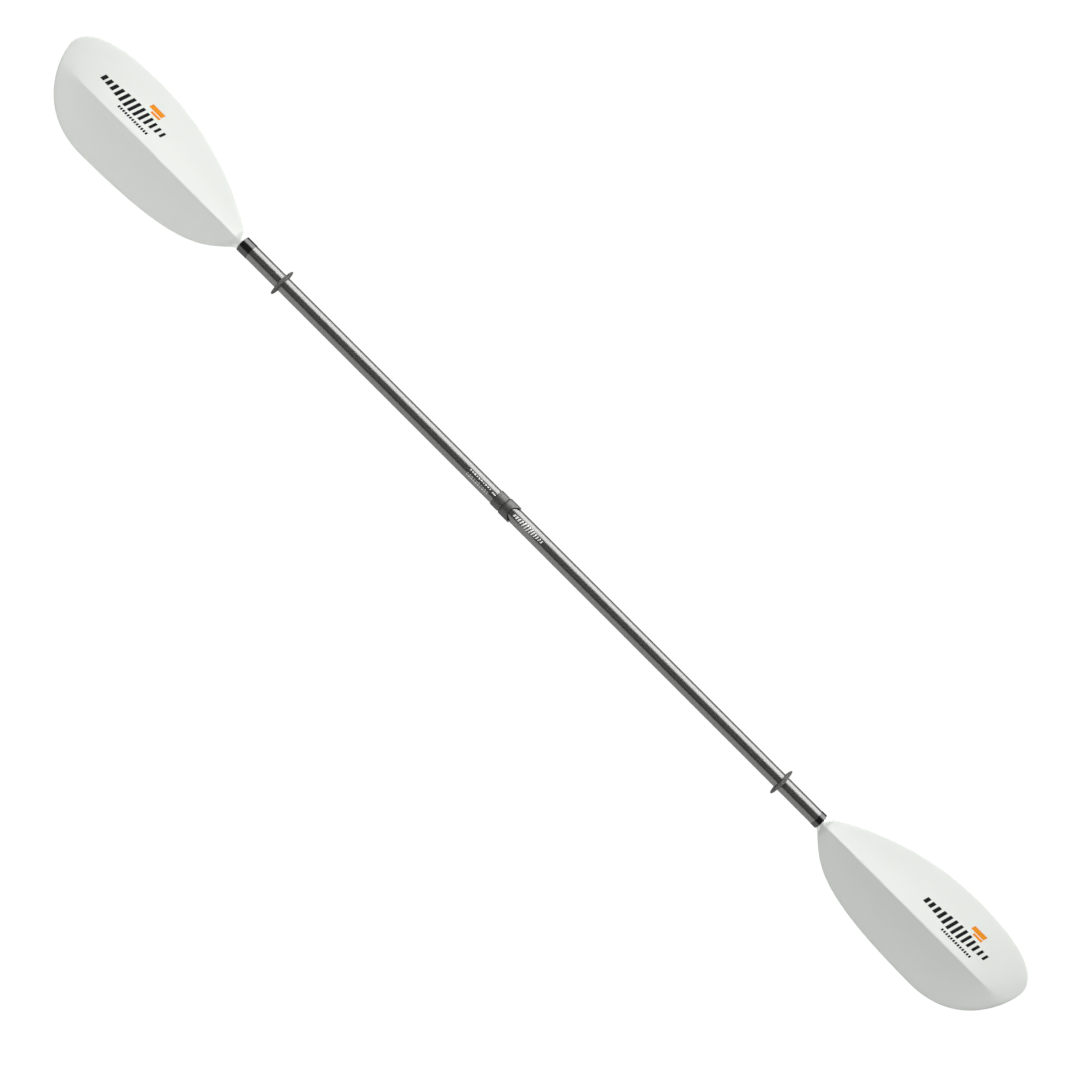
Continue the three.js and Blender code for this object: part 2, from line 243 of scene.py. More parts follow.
def trace(name: str, outline: Outline) -> Piece:
    """Draws a closed outline as one flat face above the X axis.

    Args:
        name: the new object's name.
        outline: its corners, as distance along X and height above the axis.

    Returns:
        The flat piece.
    """
    deselect()
    bpy.ops.mesh.primitive_plane_add(size=MM)
    piece = bpy.context.active_object
    piece.name = name
    with editing(piece):
        select_everything()
        bpy.ops.mesh.merge(type="CENTER")
        bpy.ops.transform.translate(value=metres(outline[0][0], 0, outline[0][1]))
        for (x, up), (next_x, next_up) in zip(outline, outline[1:]):
            step = {"value": metres(next_x - x, 0, next_up - up)}
            bpy.ops.mesh.extrude_vertices_move(TRANSFORM_OT_translate=step)
        select_everything()
        bpy.ops.mesh.edge_face_add()
    return piece


def turned(
    name: str, outline: Outline, rounding: float = 0.0, steps: int = ROUND_STEPS
) -> Piece:
    """Turns a closed outline about the X axis, as on a lathe.

    Args:
        name: the new object's name.
        outline: the corners, as distance along X and radius.
        rounding: how far each corner of the outline is rounded off.
        steps: how many flats there are round the axis.

    Returns:
        The closed, smooth-shaded piece.
    """
    piece = trace(name, outline)
    with editing(piece):
        select_everything()
        if rounding:
            corner = {"offset": rounding * MM, "segments": CORNER_FACES, "clamp_overlap": True}
            bpy.ops.mesh.bevel(affect="VERTICES", **corner)
        bpy.ops.mesh.delete(type="ONLY_FACE")
        select_everything()
        bpy.ops.mesh.spin(steps=steps, angle=FULL_TURN, center=(0, 0, 0), axis=(1, 0, 0))
    complete(piece)
    return piece


def block(low: Sequence[float], high: Sequence[float]) -> Piece:
    """Makes a box between two corners, to cut or join another piece with.

    Args:
        low: the lowest corner.
        high: the highest corner.

    Returns:
        The box.
    """
    size = [top - bottom for bottom, top in zip(low, high)]
    middle = [(top + bottom) / 2 for bottom, top in zip(low, high)]
    deselect()
    bpy.ops.mesh.primitive_cube_add(size=1, location=metres(*middle), scale=metres(*size))
    box = bpy.context.active_object
    settle(box)
    return box


def rod(
    radius: float, start: Sequence[float], end: Sequence[float], flats: int = ROD_FLATS
) -> Piece:
    """Makes a round rod between two points, to cut or join another piece with.

    Args:
        radius: the rod's radius.
        start: the middle of its first end.
        end: the middle of its other end.
        flats: how many flats there are round it.

    Returns:
        The rod.
    """
    run = metres(*end) - metres(*start)
    middle = (metres(*end) + metres(*start)) / 2
    aim = run.to_track_quat("Z", "Y").to_euler()
    deselect()
    bpy.ops.mesh.primitive_cylinder_add(
        vertices=flats, radius=radius * MM, depth=run.length, location=middle, rotation=aim
    )
    piece = bpy.context.active_object
    settle(piece)
    return piece


def turned_copies(piece: Piece, angles: Sequence[float]) -> Piece:
    """Replaces a piece by copies of it turned about the X axis, joined in one object.

    Args:
        piece: the piece to copy.
        angles: each copy's turn, in degrees.

    Returns:
        The joined copies.
    """
    copies = []
    for angle in angles:
        take_up(piece)
        bpy.ops.object.duplicate(linked=False)
        about = {"orient_axis": "X", "orient_type": "GLOBAL", "center_override": (0, 0, 0)}
        bpy.ops.transform.rotate(value=math.radians(angle), **about)
        copies.append(bpy.context.active_object)
        settle(copies[-1])
    bpy.data.objects.remove(piece)
    deselect()
    for copy in copies:
        copy.select_set(True)
    bpy.context.view_layer.objects.active = copies[0]
    bpy.ops.object.join()
    return copies[0]


def carve(piece: Piece, tool: Piece, how: Carve = Carve.CUT) -> None:
    """Cuts a tool's shape out of a piece, or joins it on, and removes the tool.

    Args:
        piece: the piece that is kept.
        tool: the second solid.
        how: whether it is cut away, joined on, or all that is left.
    """
    change(piece, "BOOLEAN", object=tool, operation=how.value, solver="EXACT")
    bpy.data.objects.remove(tool)


def soften(piece: Piece, width: float, segments: int = 2) -> None:
    """Rounds every sharp edge of a piece.

    Args:
        piece: the piece to round.
        width: how far from the edge the rounding starts.
        segments: how many faces the rounding has.
    """
    close_up(piece)
    shape = {"width": width * MM, "segments": segments, "harden_normals": False}
    change(piece, "BEVEL", limit_method="ANGLE", angle_limit=BEVEL_ANGLE, **shape)
    smooth(piece)


def mirrored_copy(piece: Piece, name: str) -> Piece:
    """Copies a piece to the other side of the paddle's middle.

    Args:
        piece: the piece to copy.
        name: the copy's name.

    Returns:
        The mirror image, with its faces pointing outwards.
    """
    take_up(piece)
    bpy.ops.object.duplicate(linked=False)
    copy = bpy.context.active_object
    copy.name = name
    copy.scale.x = -1
    settle(copy)
    complete(copy)
    return copy


def corners(node: str) -> tuple[Vector, Vector]:
    """Reads the two corners of a CAD node's box from the frame, in millimetres."""
    low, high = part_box(node)
    return low / MM, high / MM


@dataclass(frozen=True)
class Span:
    """The stretch of the shaft's axis that a round CAD node fills, and its outer radius."""

    start: float
    end: float
    radius: float

    @classmethod
    def of(cls, node: str) -> Span:
        """Reads a node's span from the frame.

        Args:
            node: the CAD node's name.

        Returns:
            Its span, in millimetres.
        """
        low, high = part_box(node)
        return cls(low.x / MM, high.x / MM, high.y / MM)

    @property
    def middle(self) -> float:
        """The middle of the span along the shaft."""
        return (self.start + self.end) / 2


def pipe(span: Span, bore: float) -> Outline:
    """Gives the outline of a plain tube.

    Args:
        span: its length and outer radius.
        bore: its inner radius.

    Returns:
        Its four corners.
    """
    return [(span.start, span.radius), (span.end, span.radius), (span.end, bore), (span.start, bore)]


def groove(middle: float, width: float, floor: float, surface: float) -> Outline:
    """Gives the corners of an outline that steps down into a groove and up again.

    Args:
        middle: the groove's middle along X.
        width: its width.
        floor: the radius of its floor.
        surface: the radius on both sides of it.

    Returns:
        Its four corners, from low X to high X.
    """
    start, end = middle - width / 2, middle + width / 2
    return [(start, surface), (start, floor), (end, floor), (end, surface)]


# ---- Finishes -----------------------------------------------------------------------------


def linear(colour: str) -> tuple[float, float, float, float]:
    """Turns an sRGB hex value to the linear colour that a shader takes.

    Args:
        colour: the colour, as #rrggbb.

    Returns:
        Red, green and blue from 0 to 1, and an alpha of 1.
    """
    shown = [int(colour[at : at + 2], 16) / 255 for at in (1, 3, 5)]
    red, green, blue = (c / 12.92 if c <= 0.04045 else ((c + 0.055) / 1.055) ** 2.4 for c in shown)
    return red, green, blue, 1.0


@dataclass
class Paint:
    """A material in the making: it gives its shader colours, patterns and values."""

    name: str

    def __post_init__(self) -> None:
        """Starts the material with a bare shader."""
        self.material = bpy.data.materials.new(self.name)
        self.material.use_nodes = True
        self.shader = self.material.node_tree.nodes["Principled BSDF"]

    @cached_property
    def place(self) -> Socket:
        """The place on the piece."""
        return self.add("TexCoord", {})["Object"]

    def add(self, kind: str, inputs: dict[str | int, object], **settings: object) -> Sockets:
        """Adds a node with its settings, values and links.

        Args:
            kind: Blender's name for the node, without its "ShaderNode".
            inputs: for each input, a value or the output socket to link to it.
            settings: the node's own settings.

        Returns:
            The node's outputs.
        """
        node = self.material.node_tree.nodes.new(f"ShaderNode{kind}")
        for key, value in settings.items():
            setattr(node, key, value)
        self._feed(node, inputs)
        return node.outputs

    def set(self, **inputs: object) -> None:
        """Sets or links the shader's inputs, named with underscores for spaces."""
        self._feed(self.shader, {name.replace("_", " "): value for name, value in inputs.items()})

    def _feed(self, node: bpy.types.Node, inputs: dict[str | int, object]) -> None:
        """Gives a node its inputs.

        Args:
            node: the node.
            inputs: for each input, a value or the output socket to link to it.
        """
        for socket, value in inputs.items():
            if isinstance(value, bpy.types.NodeSocket):
                self.material.node_tree.links.new(value, node.inputs[socket])
            else:
                node.inputs[socket].default_value = value

    def compute(self, operation: str, *values: Socket | float) -> Socket:
        """Adds a node that works out one number from others."""
        return self.add("Math", dict(enumerate(values)), operation=operation)[0]

    def noise(
        self, size: float, detail: float, roughness: float = 0.5, place: Socket | None = None
    ) -> Socket:
        """Adds a cloudy pattern.

        Args:
            size: the size of its largest patches, in millimetres.
            detail: how many finer layers it has.
            roughness: how strong the finer layers are.
            place: where to read it, if not at the place on the piece.

        Returns:
            The pattern, from 0 to 1.
        """
        inputs = {"Vector": place or self.place, "Scale": 1 / (size * MM)}
        return self.add("TexNoise", {**inputs, "Detail": detail, "Roughness": roughness})["Fac"]

    def stretch(self, value: Socket, source: Point, target: Point = (0.0, 1.0)) -> Socket:
        """Stretches one range of a value to another, and clamps what lies outside.

        Args:
            value: the value.
            source: the range that is stretched.
            target: the range that it becomes.

        Returns:
            The stretched value.
        """
        inputs = {"From Min": source[0], "From Max": source[1], "To Min": target[0], "To Max": target[1]}
        return self.add("MapRange", {"Value": value, **inputs})[0]

    def tint(self, share: Socket, first: str, second: str) -> None:
        """Colours the surface with a mix of two sRGB colours.

        Args:
            share: the second colour's share.
            first: the colour where the share is 0.
            second: the colour where it is 1.
        """
        colours = {6: linear(first), 7: linear(second)}
        self.set(Base_Color=self.add("Mix", {"Factor": share, **colours}, data_type="RGBA")[2])

    def dull(self, pattern: Socket, low: float, high: float) -> None:
        """Lets a pattern change the roughness.

        Args:
            pattern: the pattern, from 0 to 1.
            low: the roughness where it is 0.
            high: the roughness where it is 1.
        """
        self.set(Roughness=self.stretch(pattern, (0.0, 1.0), (low, high)))

    def emboss(self, pattern: Socket, strength: float, depth: float) -> None:
        """Lets a pattern change the surface's height.

        Args:
            pattern: the pattern, from 0 to 1.
            strength: how much of the height is seen.
            depth: the height in millimetres.
        """
        inputs = {"Height": pattern, "Strength": strength, "Distance": depth * MM}
        self.set(Normal=self.add("Bump", inputs)[0])


@dataclass(frozen=True)
class Finish:
    """A surface finish: the colour, gloss and pattern that one material has."""

    name: str
    colour: str
    roughness: float

    def build(self) -> bpy.types.Material:
        """Makes the material.

        Returns:
            The material, with this finish's pattern.
        """
        paint = Paint(self.name)
        paint.set(Roughness=self.roughness)
        self.pattern(paint)
        return paint.material

    def pattern(self, paint: Paint) -> None:
        """Adds the finish's pattern to a material."""
        raise NotImplementedError


@dataclass(frozen=True)
class MouldedPlastic(Finish):
    """Injection moulded plastic: a spark-eroded grain, and a faint cloudiness from the melt's flow."""

    shade: str = "#000000"
    grain: float = 0.5
    grain_depth: float = 0.02
    cloud: float = 40.0
    streak: float = 3.0
    gloss_change: float = 0.06

    def pattern(self, paint: Paint) -> None:
        """Adds the cloudiness, the change of gloss and the grain.

        Args:
            paint: the material to add them to.
        """
        flow = paint.add("Mapping", {"Vector": paint.place, "Scale": (1, self.streak, 1)})[0]
        cloud = paint.noise(self.cloud, detail=5.0, roughness=0.6, place=flow)
        paint.tint(cloud, self.colour, self.shade)
        paint.dull(cloud, self.roughness - self.gloss_change, self.roughness + self.gloss_change)
        grain = paint.noise(self.grain, detail=2.0, roughness=0.55)
        paint.emboss(grain, strength=0.6, depth=self.grain_depth)


@dataclass(frozen=True)
class WovenLaminate(Finish):
    """Braided fibre under clear resin: two sets of tows that cross at 45 degrees, as a twill."""

    # The paler colour: a painted sheen where the upper tows lie, and the real pale specks.
    speck_and_painted_sheen: str = "#000000"
    tube_radius: float = 14.3
    tows: int = 32
    tow_depth: float = 0.03
    twill_share: float = 0.35
    twill_period: float = 4.0
    speck: float = 1.6
    speck_source: Point = (0.35, 0.68)
    speck_share: Point = (-0.25, 0.75)
    coat_roughness: float = 0.09

    def pattern(self, paint: Paint) -> None:
        """Adds the twill as a painted sheen on the upper tows, the specks of resin and the clear coat.

        Args:
            paint: the material to add them to.
        """
        twill, crown = self._twill(paint)
        speck = paint.noise(self.speck, detail=4.0, roughness=0.7)
        contrast = paint.stretch(speck, self.speck_source, self.speck_share)
        sum_up = {"operation": "MULTIPLY_ADD", "use_clamp": True}
        share = paint.add("Math", {0: twill, 1: self.twill_share, 2: contrast}, **sum_up)[0]
        # Mixes in the paler colour: painted sheen on the upper tows, and the pale specks.
        paint.tint(share, self.colour, self.speck_and_painted_sheen)
        paint.emboss(crown, strength=0.35, depth=self.tow_depth)
        paint.set(Coat_Weight=1.0, Coat_Roughness=self.coat_roughness)

    def _twill(self, paint: Paint) -> tuple[Socket, Socket]:
        """Works out the braid from the place round and along the tube.

        Args:
            paint: the material to add it to.

        Returns:
            An output that is 1 where the first set of tows lies on top and 0 elsewhere, and one
            that rises to the middle of each tow.
        """
        x, y, z = paint.add("SeparateXYZ", {0: paint.place})
        around = paint.compute("MULTIPLY", paint.compute("ARCTAN2", y, z), self.tows / FULL_TURN)
        along = paint.compute("MULTIPLY", x, self.tows / (FULL_TURN * self.tube_radius * MM))
        sets = [paint.compute(operation, around, along) for operation in ("ADD", "SUBTRACT")]
        rows = [paint.compute("FLOOR", tow) for tow in sets]
        turn = paint.compute("FLOORED_MODULO", paint.compute("ADD", *rows), self.twill_period)
        on_top = paint.compute("GREATER_THAN", turn, self.twill_period / 2 - 0.5)
        waves = [paint.compute("PINGPONG", tow, 0.5) for tow in sets]
        return on_top, paint.add("Mix", {"Factor": on_top, 2: waves[0], 3: waves[1]})[0]


@dataclass(frozen=True)
class GlossSleeve(Finish):
    """Heat-shrunk gloss sleeve: a mirror-like black skin with a slight ripple."""

    ripple: float = 2.5
    gloss_change: float = 0.1

    def pattern(self, paint: Paint) -> None:
        """Adds the ripple, and dust specks that dull the gloss.

        Args:
            paint: the material to add them to.
        """
        paint.set(Base_Color=linear(self.colour))
        ripple = paint.noise(self.ripple, detail=1.0)
        paint.emboss(ripple, strength=0.3, depth=0.02)
        paint.dull(ripple, self.roughness, self.roughness + self.gloss_change)


@dataclass(frozen=True)
class MouldedRubber(Finish):
    """Moulded rubber: matte, with a pale bloom that comes and goes over the surface."""

    bloom: str = "#000000"
    bloom_source: Point = (0.35, 0.75)
    patch: float = 9.0
    grain: float = 0.3

    def pattern(self, paint: Paint) -> None:
        """Adds the bloom and the grain.

        Args:
            paint: the material to add them to.
        """
        patch = paint.noise(self.patch, detail=6.0, roughness=0.65)
        paint.tint(paint.stretch(patch, self.bloom_source), self.colour, self.bloom)
        paint.emboss(paint.noise(self.grain, detail=2.0), strength=0.7, depth=0.03)


@dataclass(frozen=True)
class DrawnSteel(Finish):
    """Stainless spring steel, drawn or rolled: bright metal with fine lines from the die."""

    line: float = 0.12
    stretched: float = 0.08
    gloss_change: Point = (0.1, 0.12)

    def pattern(self, paint: Paint) -> None:
        """Adds the lines to the metal's gloss and height.

        Args:
            paint: the material to add them to.
        """
        paint.set(Base_Color=linear(self.colour), Metallic=1.0)
        scale = (1, self.stretched, self.stretched)
        along = paint.add("Mapping", {"Vector": paint.place, "Scale": scale})[0]
        lines = paint.noise(self.line, detail=3.0, place=along)
        less, more = self.gloss_change
        paint.dull(lines, self.roughness - less, self.roughness + more)
        paint.emboss(lines, strength=0.4, depth=0.01)


@dataclass(frozen=True)
class CellFoam(Finish):
    """Cut closed-cell foam: small open half cells, with painted shade on their floors."""

    # The floor colour is painted shade in the bottom of each cell's hollow.
    floor: str = "#000000"
    cell: float = 0.9

    def pattern(self, paint: Paint) -> None:
        """Adds the cells to the height, and painted shade on their floors to the colour.

        Args:
            paint: the material to add them to.
        """
        cells = paint.add("TexVoronoi", {"Vector": paint.place, "Scale": 1 / (self.cell * MM)})
        # Painted shade: the darker floor colour at the middle of each cell, where it is deepest.
        paint.tint(cells["Distance"], self.floor, self.colour)
        paint.emboss(cells["Distance"], strength=0.8, depth=0.2)


@dataclass(frozen=True)
class PrintInk(Finish):
    """Pad-printed ink: an even, satin film that is a little thinner in places."""

    thin: str = "#000000"
    thin_source: Point = (0.45, 0.8)
    patch: float = 3.0

    def pattern(self, paint: Paint) -> None:
        """Adds the thin places to the colour, and a fine pad texture to the height.

        Args:
            paint: the material to add them to.
        """
        patch = paint.noise(self.patch, detail=4.0)
        paint.tint(paint.stretch(patch, self.thin_source), self.colour, self.thin)
        paint.set(Specular_IOR_Level=0.2)
        paint.emboss(patch, strength=0.3, depth=0.01)


@dataclass
class Palette:
    """The paddle's materials, each made once."""

    made: dict[str, bpy.types.Material] = field(default_factory=dict)

    # Glass-filled nylon: off-white with a green-grey cast, satin, with a fine sandy grain.
    blade = MouldedPlastic(
        "moulded_glass_filled_nylon_white", "#eef1ec", 0.42, shade="#eaeee9", streak=1.0
    )
    # Braided carbon and glass under resin: charcoal with pale specks, a painted sheen on the upper tows,
    # and a sharp clear gloss.
    shaft = WovenLaminate("braided_fibre_laminate_clear_coated", "#1c1c1c", 0.32, speck_and_painted_sheen="#565653")
    # Polyolefin heat-shrink: the darkest and glossiest surface of the paddle.
    band = GlossSleeve("heat_shrunk_polyolefin_black", "#0b0b0b", 0.14)
    # Soft-touch elastomer over nylon: dark grey, almost no shine.
    collar = MouldedPlastic(
        "overmoulded_elastomer_dark_grey",
        "#3c3c3b",
        0.48,
        shade="#333332",
        grain=0.6,
        grain_depth=0.05,
        cloud=12,
    )
    # Glass-filled nylon, black: satin, a little glossier than the collars.
    ferrule = MouldedPlastic(
        "moulded_glass_filled_nylon_black", "#1e1f21", 0.4, shade="#28292b", grain=0.4, cloud=15
    )
    # Moulded rubber: matte grey-black with a dusty bloom.
    rubber = MouldedRubber("moulded_rubber_dark_grey", "#4a4b49", 0.75, bloom="#6a6b68")
    # Stainless steel: pale warm-grey metal.
    steel = DrawnSteel("drawn_stainless_steel", "#b9bcbf", 0.3)
    # Polyethylene foam: cream, dull, with painted shade on its cell floors.
    foam = CellFoam("cut_closed_cell_foam", "#d9d5c7", 0.9, floor="#a8a493")
    # Pad-printing inks.
    black_ink = PrintInk("pad_printed_ink_black", "#0d0d0d", 0.4, thin="#1c1c1c")
    orange_ink = PrintInk("pad_printed_ink_orange", "#f5930a", 0.4, thin="#f7a12a")
    white_ink = PrintInk("pad_printed_ink_white", "#f4f5f2", 0.4, thin="#dddfdb")

    def of(self, finish: Finish) -> bpy.types.Material:
        """Gives a finish's material, and makes it the first time.

        Args:
            finish: the finish that is wanted.

        Returns:
            Its material.
        """
        if finish.name not in self.made:
            self.made[finish.name] = finish.build()
        return self.made[finish.name]


@dataclass
class Assembly:
    """A sub-assembly of the paddle: it builds its meshes, then dresses each one."""

    palette: Palette

    def fit(self, piece: Piece, body: Body, node: str, slot: Slot, finish: Finish) -> None:
        """Puts a finished piece in the place of a CAD node.

        Args:
            piece: the finished piece.
            body: the body that it moves with.
            node: the CAD node that it stands for.
            slot: the record's material slot; not used.
            finish: the surface finish.
        """
        self.paint(piece, finish)
        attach(piece, body.value)
        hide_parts(node)
        LOG.info("%s: %d faces, %s", piece.name, len(piece.data.polygons), finish.name)

    def keep(self, node: str, finish: Finish) -> None:
        """Gives a CAD node that stays in view its finish.

        Args:
            node: the CAD node's name.
            finish: the surface finish.
        """
        self.paint(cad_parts[node], finish)
        LOG.info("%s: kept, %s", node, finish.name)

    def paint(self, piece: Piece, finish: Finish) -> None:
        """Gives a piece one material all over."""
        piece.data.materials.clear()
        piece.data.materials.append(self.palette.of(finish))


# ---- Blades -------------------------------------------------------------------------------


def smooth_step(value: float, start: float, end: float) -> float:
    """Rises smoothly from 0 to 1 between two values.

    Args:
        value: where to read the curve.
        start: where it leaves 0.
        end: where it reaches 1.

    Returns:
        The height of the curve.
    """
    share = min(max((value - start) / (end - start), 0.0), 1.0)
    return share * share * (3 - 2 * share)


def mix(first: float, second: float, share: float) -> float:
    """Mixes two numbers."""
    return first + (second - first) * share


@dataclass(frozen=True)
class EdgeCurve:
    """One cubic curve of a blade's outline, as distance out from the shaft and distance across."""

    start: Point
    leave: Point
    arrive: Point
    end: Point

    def at(self, share: float) -> Point:
        """Gives a point of the curve.

        Args:
            share: how far along the curve, from 0 to 1.

        Returns:
            The point's distance out and across.
        """
        rest = 1 - share
        weights = (rest**3, 3 * rest**2 * share, 3 * rest * share**2, share**3)
        corners = (self.start, self.leave, self.arrive, self.end)
        out = sum(weight * corner[0] for weight, corner in zip(weights, corners))
        across = sum(weight * corner[1] for weight, corner in zip(weights, corners))
        return out, across


@dataclass(frozen=True)
class BladeForm:
    """The blade's surface, as a function of the distance out and the angle round its section."""

    root: float
    length: float
    neck_radius: float = 13.6
    neck_length: float = 3.5
    tongue_radius: float = 12.6
    tip_across: float = 35.0
    tip_turn_start: float = 380.0
    throat_end: float = 16.0
    skin: float = 3.0
    edge_power: int = 6
    tip_taper: float = 60.0
    ridge_height: float = 13.5
    ridge_sharpness: float = 1.35
    ridge_fade: int = 6
    crease: Point = (0.8, 24.0)
    crease_fade: Point = (385.0, 448.0)
    crowding: float = 0.5
    rib_depth: float = 18.0
    rib_reach: float = 360.0
    rib_half_width: float = 14.0
    spoon_rise: float = 12.0
    spoon_sag: float = 13.4
    upper: tuple[EdgeCurve, ...] = (
        EdgeCurve((3.5, 13.6), (36, 36.6), (149, 96.95), (287, 96.95)),
        EdgeCurve((287, 96.95), (371, 96.95), (448, 85), (448, 35)),
    )
    lower: tuple[EdgeCurve, ...] = (
        EdgeCurve((3.5, -13.6), (47, -48), (62, -89), (306, -89)),
        EdgeCurve((306, -89), (420, -89), (448, 15), (448, 35)),
    )

    @lru_cache(maxsize=None)
    def edges(self, out: float) -> Point:
        """Finds both edges of the blade at a distance out.

        Args:
            out: the distance from the shaft's end.

        Returns:
            How far across the upper and the lower edge lie.
        """
        if out <= self.neck_length:
            return self.neck_radius, -self.neck_radius
        found = []
        for curves in (self.upper, self.lower):
            curve = next((piece for piece in curves if out <= piece.end[0]), curves[-1])
            low, high = 0.0, 1.0
            for _ in range(BISECTIONS):
                middle = (low + high) / 2
                low, high = (middle, high) if curve.at(middle)[0] < out else (low, middle)
            found.append(curve.at(low)[1])
        return found[0], found[1]

    def middle_height(self, out: float, across: float) -> float:
        """Gives the height of the blade's middle surface: the spoon curve and the folded ridge.

        Args:
            out: the distance from the shaft's end.
            across: the distance from the shaft's axis.

        Returns:
            The height.
        """
        upper, lower = self.edges(out)
        along = out / self.length
        spoon = self.spoon_rise * along - 4 * self.spoon_sag * along * (1 - along)
        soft = mix(*self.crease, smooth_step(out, *self.crease_fade))
        above, below = max(upper, self.neck_radius), max(-lower, self.neck_radius)
        widths = above / self.upper[0].end[1], -below / self.lower[0].end[1]
        reach, width = (above, widths[0]) if across > 0 else (below, widths[1])
        share = (math.hypot(across, soft) - soft) / (math.hypot(reach, soft) - soft)
        drop = width * (1 - (1 - min(share, 1.0)) ** self.ridge_sharpness)
        return spoon + self.ridge_height * (1 - along**self.ridge_fade) * (sum(widths) / 2 - drop)

    def rib(self, out: float, across: float) -> float:
        """Gives how far the rib down the back face stands out.

        Args:
            out: the distance from the shaft's end.
            across: the distance from the shaft's axis.

        Returns:
            The rib's height.
        """
        fade = max(1 - out / self.rib_reach, 0.0) ** 2
        return self.rib_depth * fade * math.exp(-((across / self.rib_half_width) ** 2))

    def point(self, out: float, angle: float) -> Point:
        """Gives a point of the skin.

        Args:
            out: the distance from the shaft's end.
            angle: the angle round the section, from the middle of the power face.

        Returns:
            The point's distance across and its height.
        """
        upper, lower = self.edges(out)
        middle = self.tip_across * smooth_step(out, self.tip_turn_start, self.length)
        flatness = smooth_step(out, self.neck_length, self.throat_end)
        reach = math.sin(angle) * abs(math.sin(angle)) ** (self.crowding * flatness)
        across = middle + (upper - middle if reach > 0 else middle - lower) * reach
        to_tip = max(1 - (self.length - out) / self.tip_taper, 0.0)
        rounding = math.sqrt(max(1 - abs(reach) ** self.edge_power, 0.0) * (1 - to_tip**self.edge_power))
        front = math.cos(angle) > 0
        height = self.middle_height(out, across) + (1 if front else -1) * rounding * self.skin / 2
        if not front:
            height -= self.rib(out, across) * rounding
        return across, mix(self.neck_radius * math.cos(angle), height, flatness)


@dataclass
class Blades(Assembly):
    """The two blades: one is drawn out of its tongue station by station, the other mirrors it."""

    flats: int = 136
    body_steps: int = 92
    body_growth: float = 1.25
    body_end: float = 395.0
    tip_steps: int = 40
    tip_flat: float = 0.05
    tongue_end: float = 0.3
    shoulder: float = 0.02

    def build(self) -> None:
        """Models both blades."""
        blade, shaft = Span.of("right_blade"), Span.of("right_shaft")
        self.form = BladeForm(root=shaft.end, length=blade.end - shaft.end + self.tip_flat)
        tongue_end = shaft.end + self.tongue_end
        self.right = rod(self.form.tongue_radius, (blade.start, 0, 0), (tongue_end, 0, 0), self.flats)
        self.right.name = "right_blade_skin"
        self._draw_out(self.tongue_end)
        self._shape()
        self.left = mirrored_copy(self.right, "left_blade_skin")

    def _stations(self, start: float) -> list[float]:
        """Gives the distances out at which the blade has a section.

        Args:
            start: where the tongue's outboard end lies.

        Returns:
            The distances, growing from the neck to the tip.
        """
        neck = self.form.neck_length
        shares = ((i / self.body_steps) ** self.body_growth for i in range(self.body_steps + 1))
        body = [neck + (self.body_end - neck) * share for share in shares]
        tip = self.form.length - self.tip_flat - self.body_end
        quarter = math.pi / 2 / self.tip_steps
        turn = [self.body_end + tip * math.sin(i * quarter) for i in range(1, self.tip_steps + 1)]
        return [start + self.shoulder, *body, *turn]

    def _draw_out(self, start: float) -> None:
        """Extrudes the tongue's end along the blade, one station at a time.

        Args:
            start: where the tongue's outboard end lies.
        """
        end = (self.form.root + start) * MM
        with editing(self.right):
            pick(self.right, lambda vertex: abs(vertex.co.x - end) < TOUCHING)
            for station in self._stations(start):
                step = {"value": metres(station - start, 0, 0)}
                bpy.ops.mesh.extrude_region_move(TRANSFORM_OT_translate=step)
                start = station

    def _shape(self) -> None:
        """Moves each section's vertices onto the blade's surface."""
        for vertex in self.right.data.vertices:
            out = round(vertex.co.x / MM - self.form.root, 4)
            if out > self.tongue_end + self.shoulder / 2:
                across, height = self.form.point(out, math.atan2(vertex.co.y, vertex.co.z))
                vertex.co.y, vertex.co.z = across * MM, height * MM
        with editing(self.right):
            tip = (self.form.root + self.form.length - self.tip_flat) * MM
            pick(self.right, lambda vertex: vertex.co.x > tip - TOUCHING)
            bpy.ops.mesh.poke()
        complete(self.right)

    def dress(self) -> None:
        """Finishes both blades."""
        self.fit(self.left, Body.LEFT_HALF, "left_blade", Slot.BLADE, Palette.blade)
        self.fit(self.right, Body.RIGHT_HALF, "right_blade", Slot.BLADE, Palette.blade)


# ---- Shaft --------------------------------------------------------------------------------


@dataclass
class Shaft(Assembly):
    """The two shaft tubes, the gloss bands round their blade ends and the foam plugs in them."""

    bore: float = 12.9
    tube_rounding: float = 0.2
    tube_flats: int = 160
    band_bore: float = 14.45
    band_rounding: float = 0.15

    def build(self) -> None:
        """Models the tubes and the bands."""
        self.tubes = {side: self._tube(f"{side}_shaft") for side in ("left", "right")}
        self.bands = {side: self._band(f"{side}_end_band") for side in ("left", "right")}

    def _tube(self, node: str) -> Piece:
        """Turns the shaft tube that stands for a CAD node."""
        outline = pipe(Span.of(node), self.bore)
        return turned(f"{node}_tube", outline, self.tube_rounding, self.tube_flats)

    def _band(self, node: str) -> Piece:
        """Turns the end band that stands for a CAD node."""
        return turned(f"{node}_sleeve", pipe(Span.of(node), self.band_bore), self.band_rounding)

    def dress(self) -> None:
        """Finishes the tubes, the bands and the plugs."""
        for side, body in (("left", Body.LEFT_HALF), ("right", Body.RIGHT_HALF)):
            self.fit(self.tubes[side], body, f"{side}_shaft", Slot.SHAFT, Palette.shaft)
            self.fit(self.bands[side], body, f"{side}_end_band", Slot.BAND, Palette.band)
            self.keep(f"{side}_float_plug", Palette.foam)


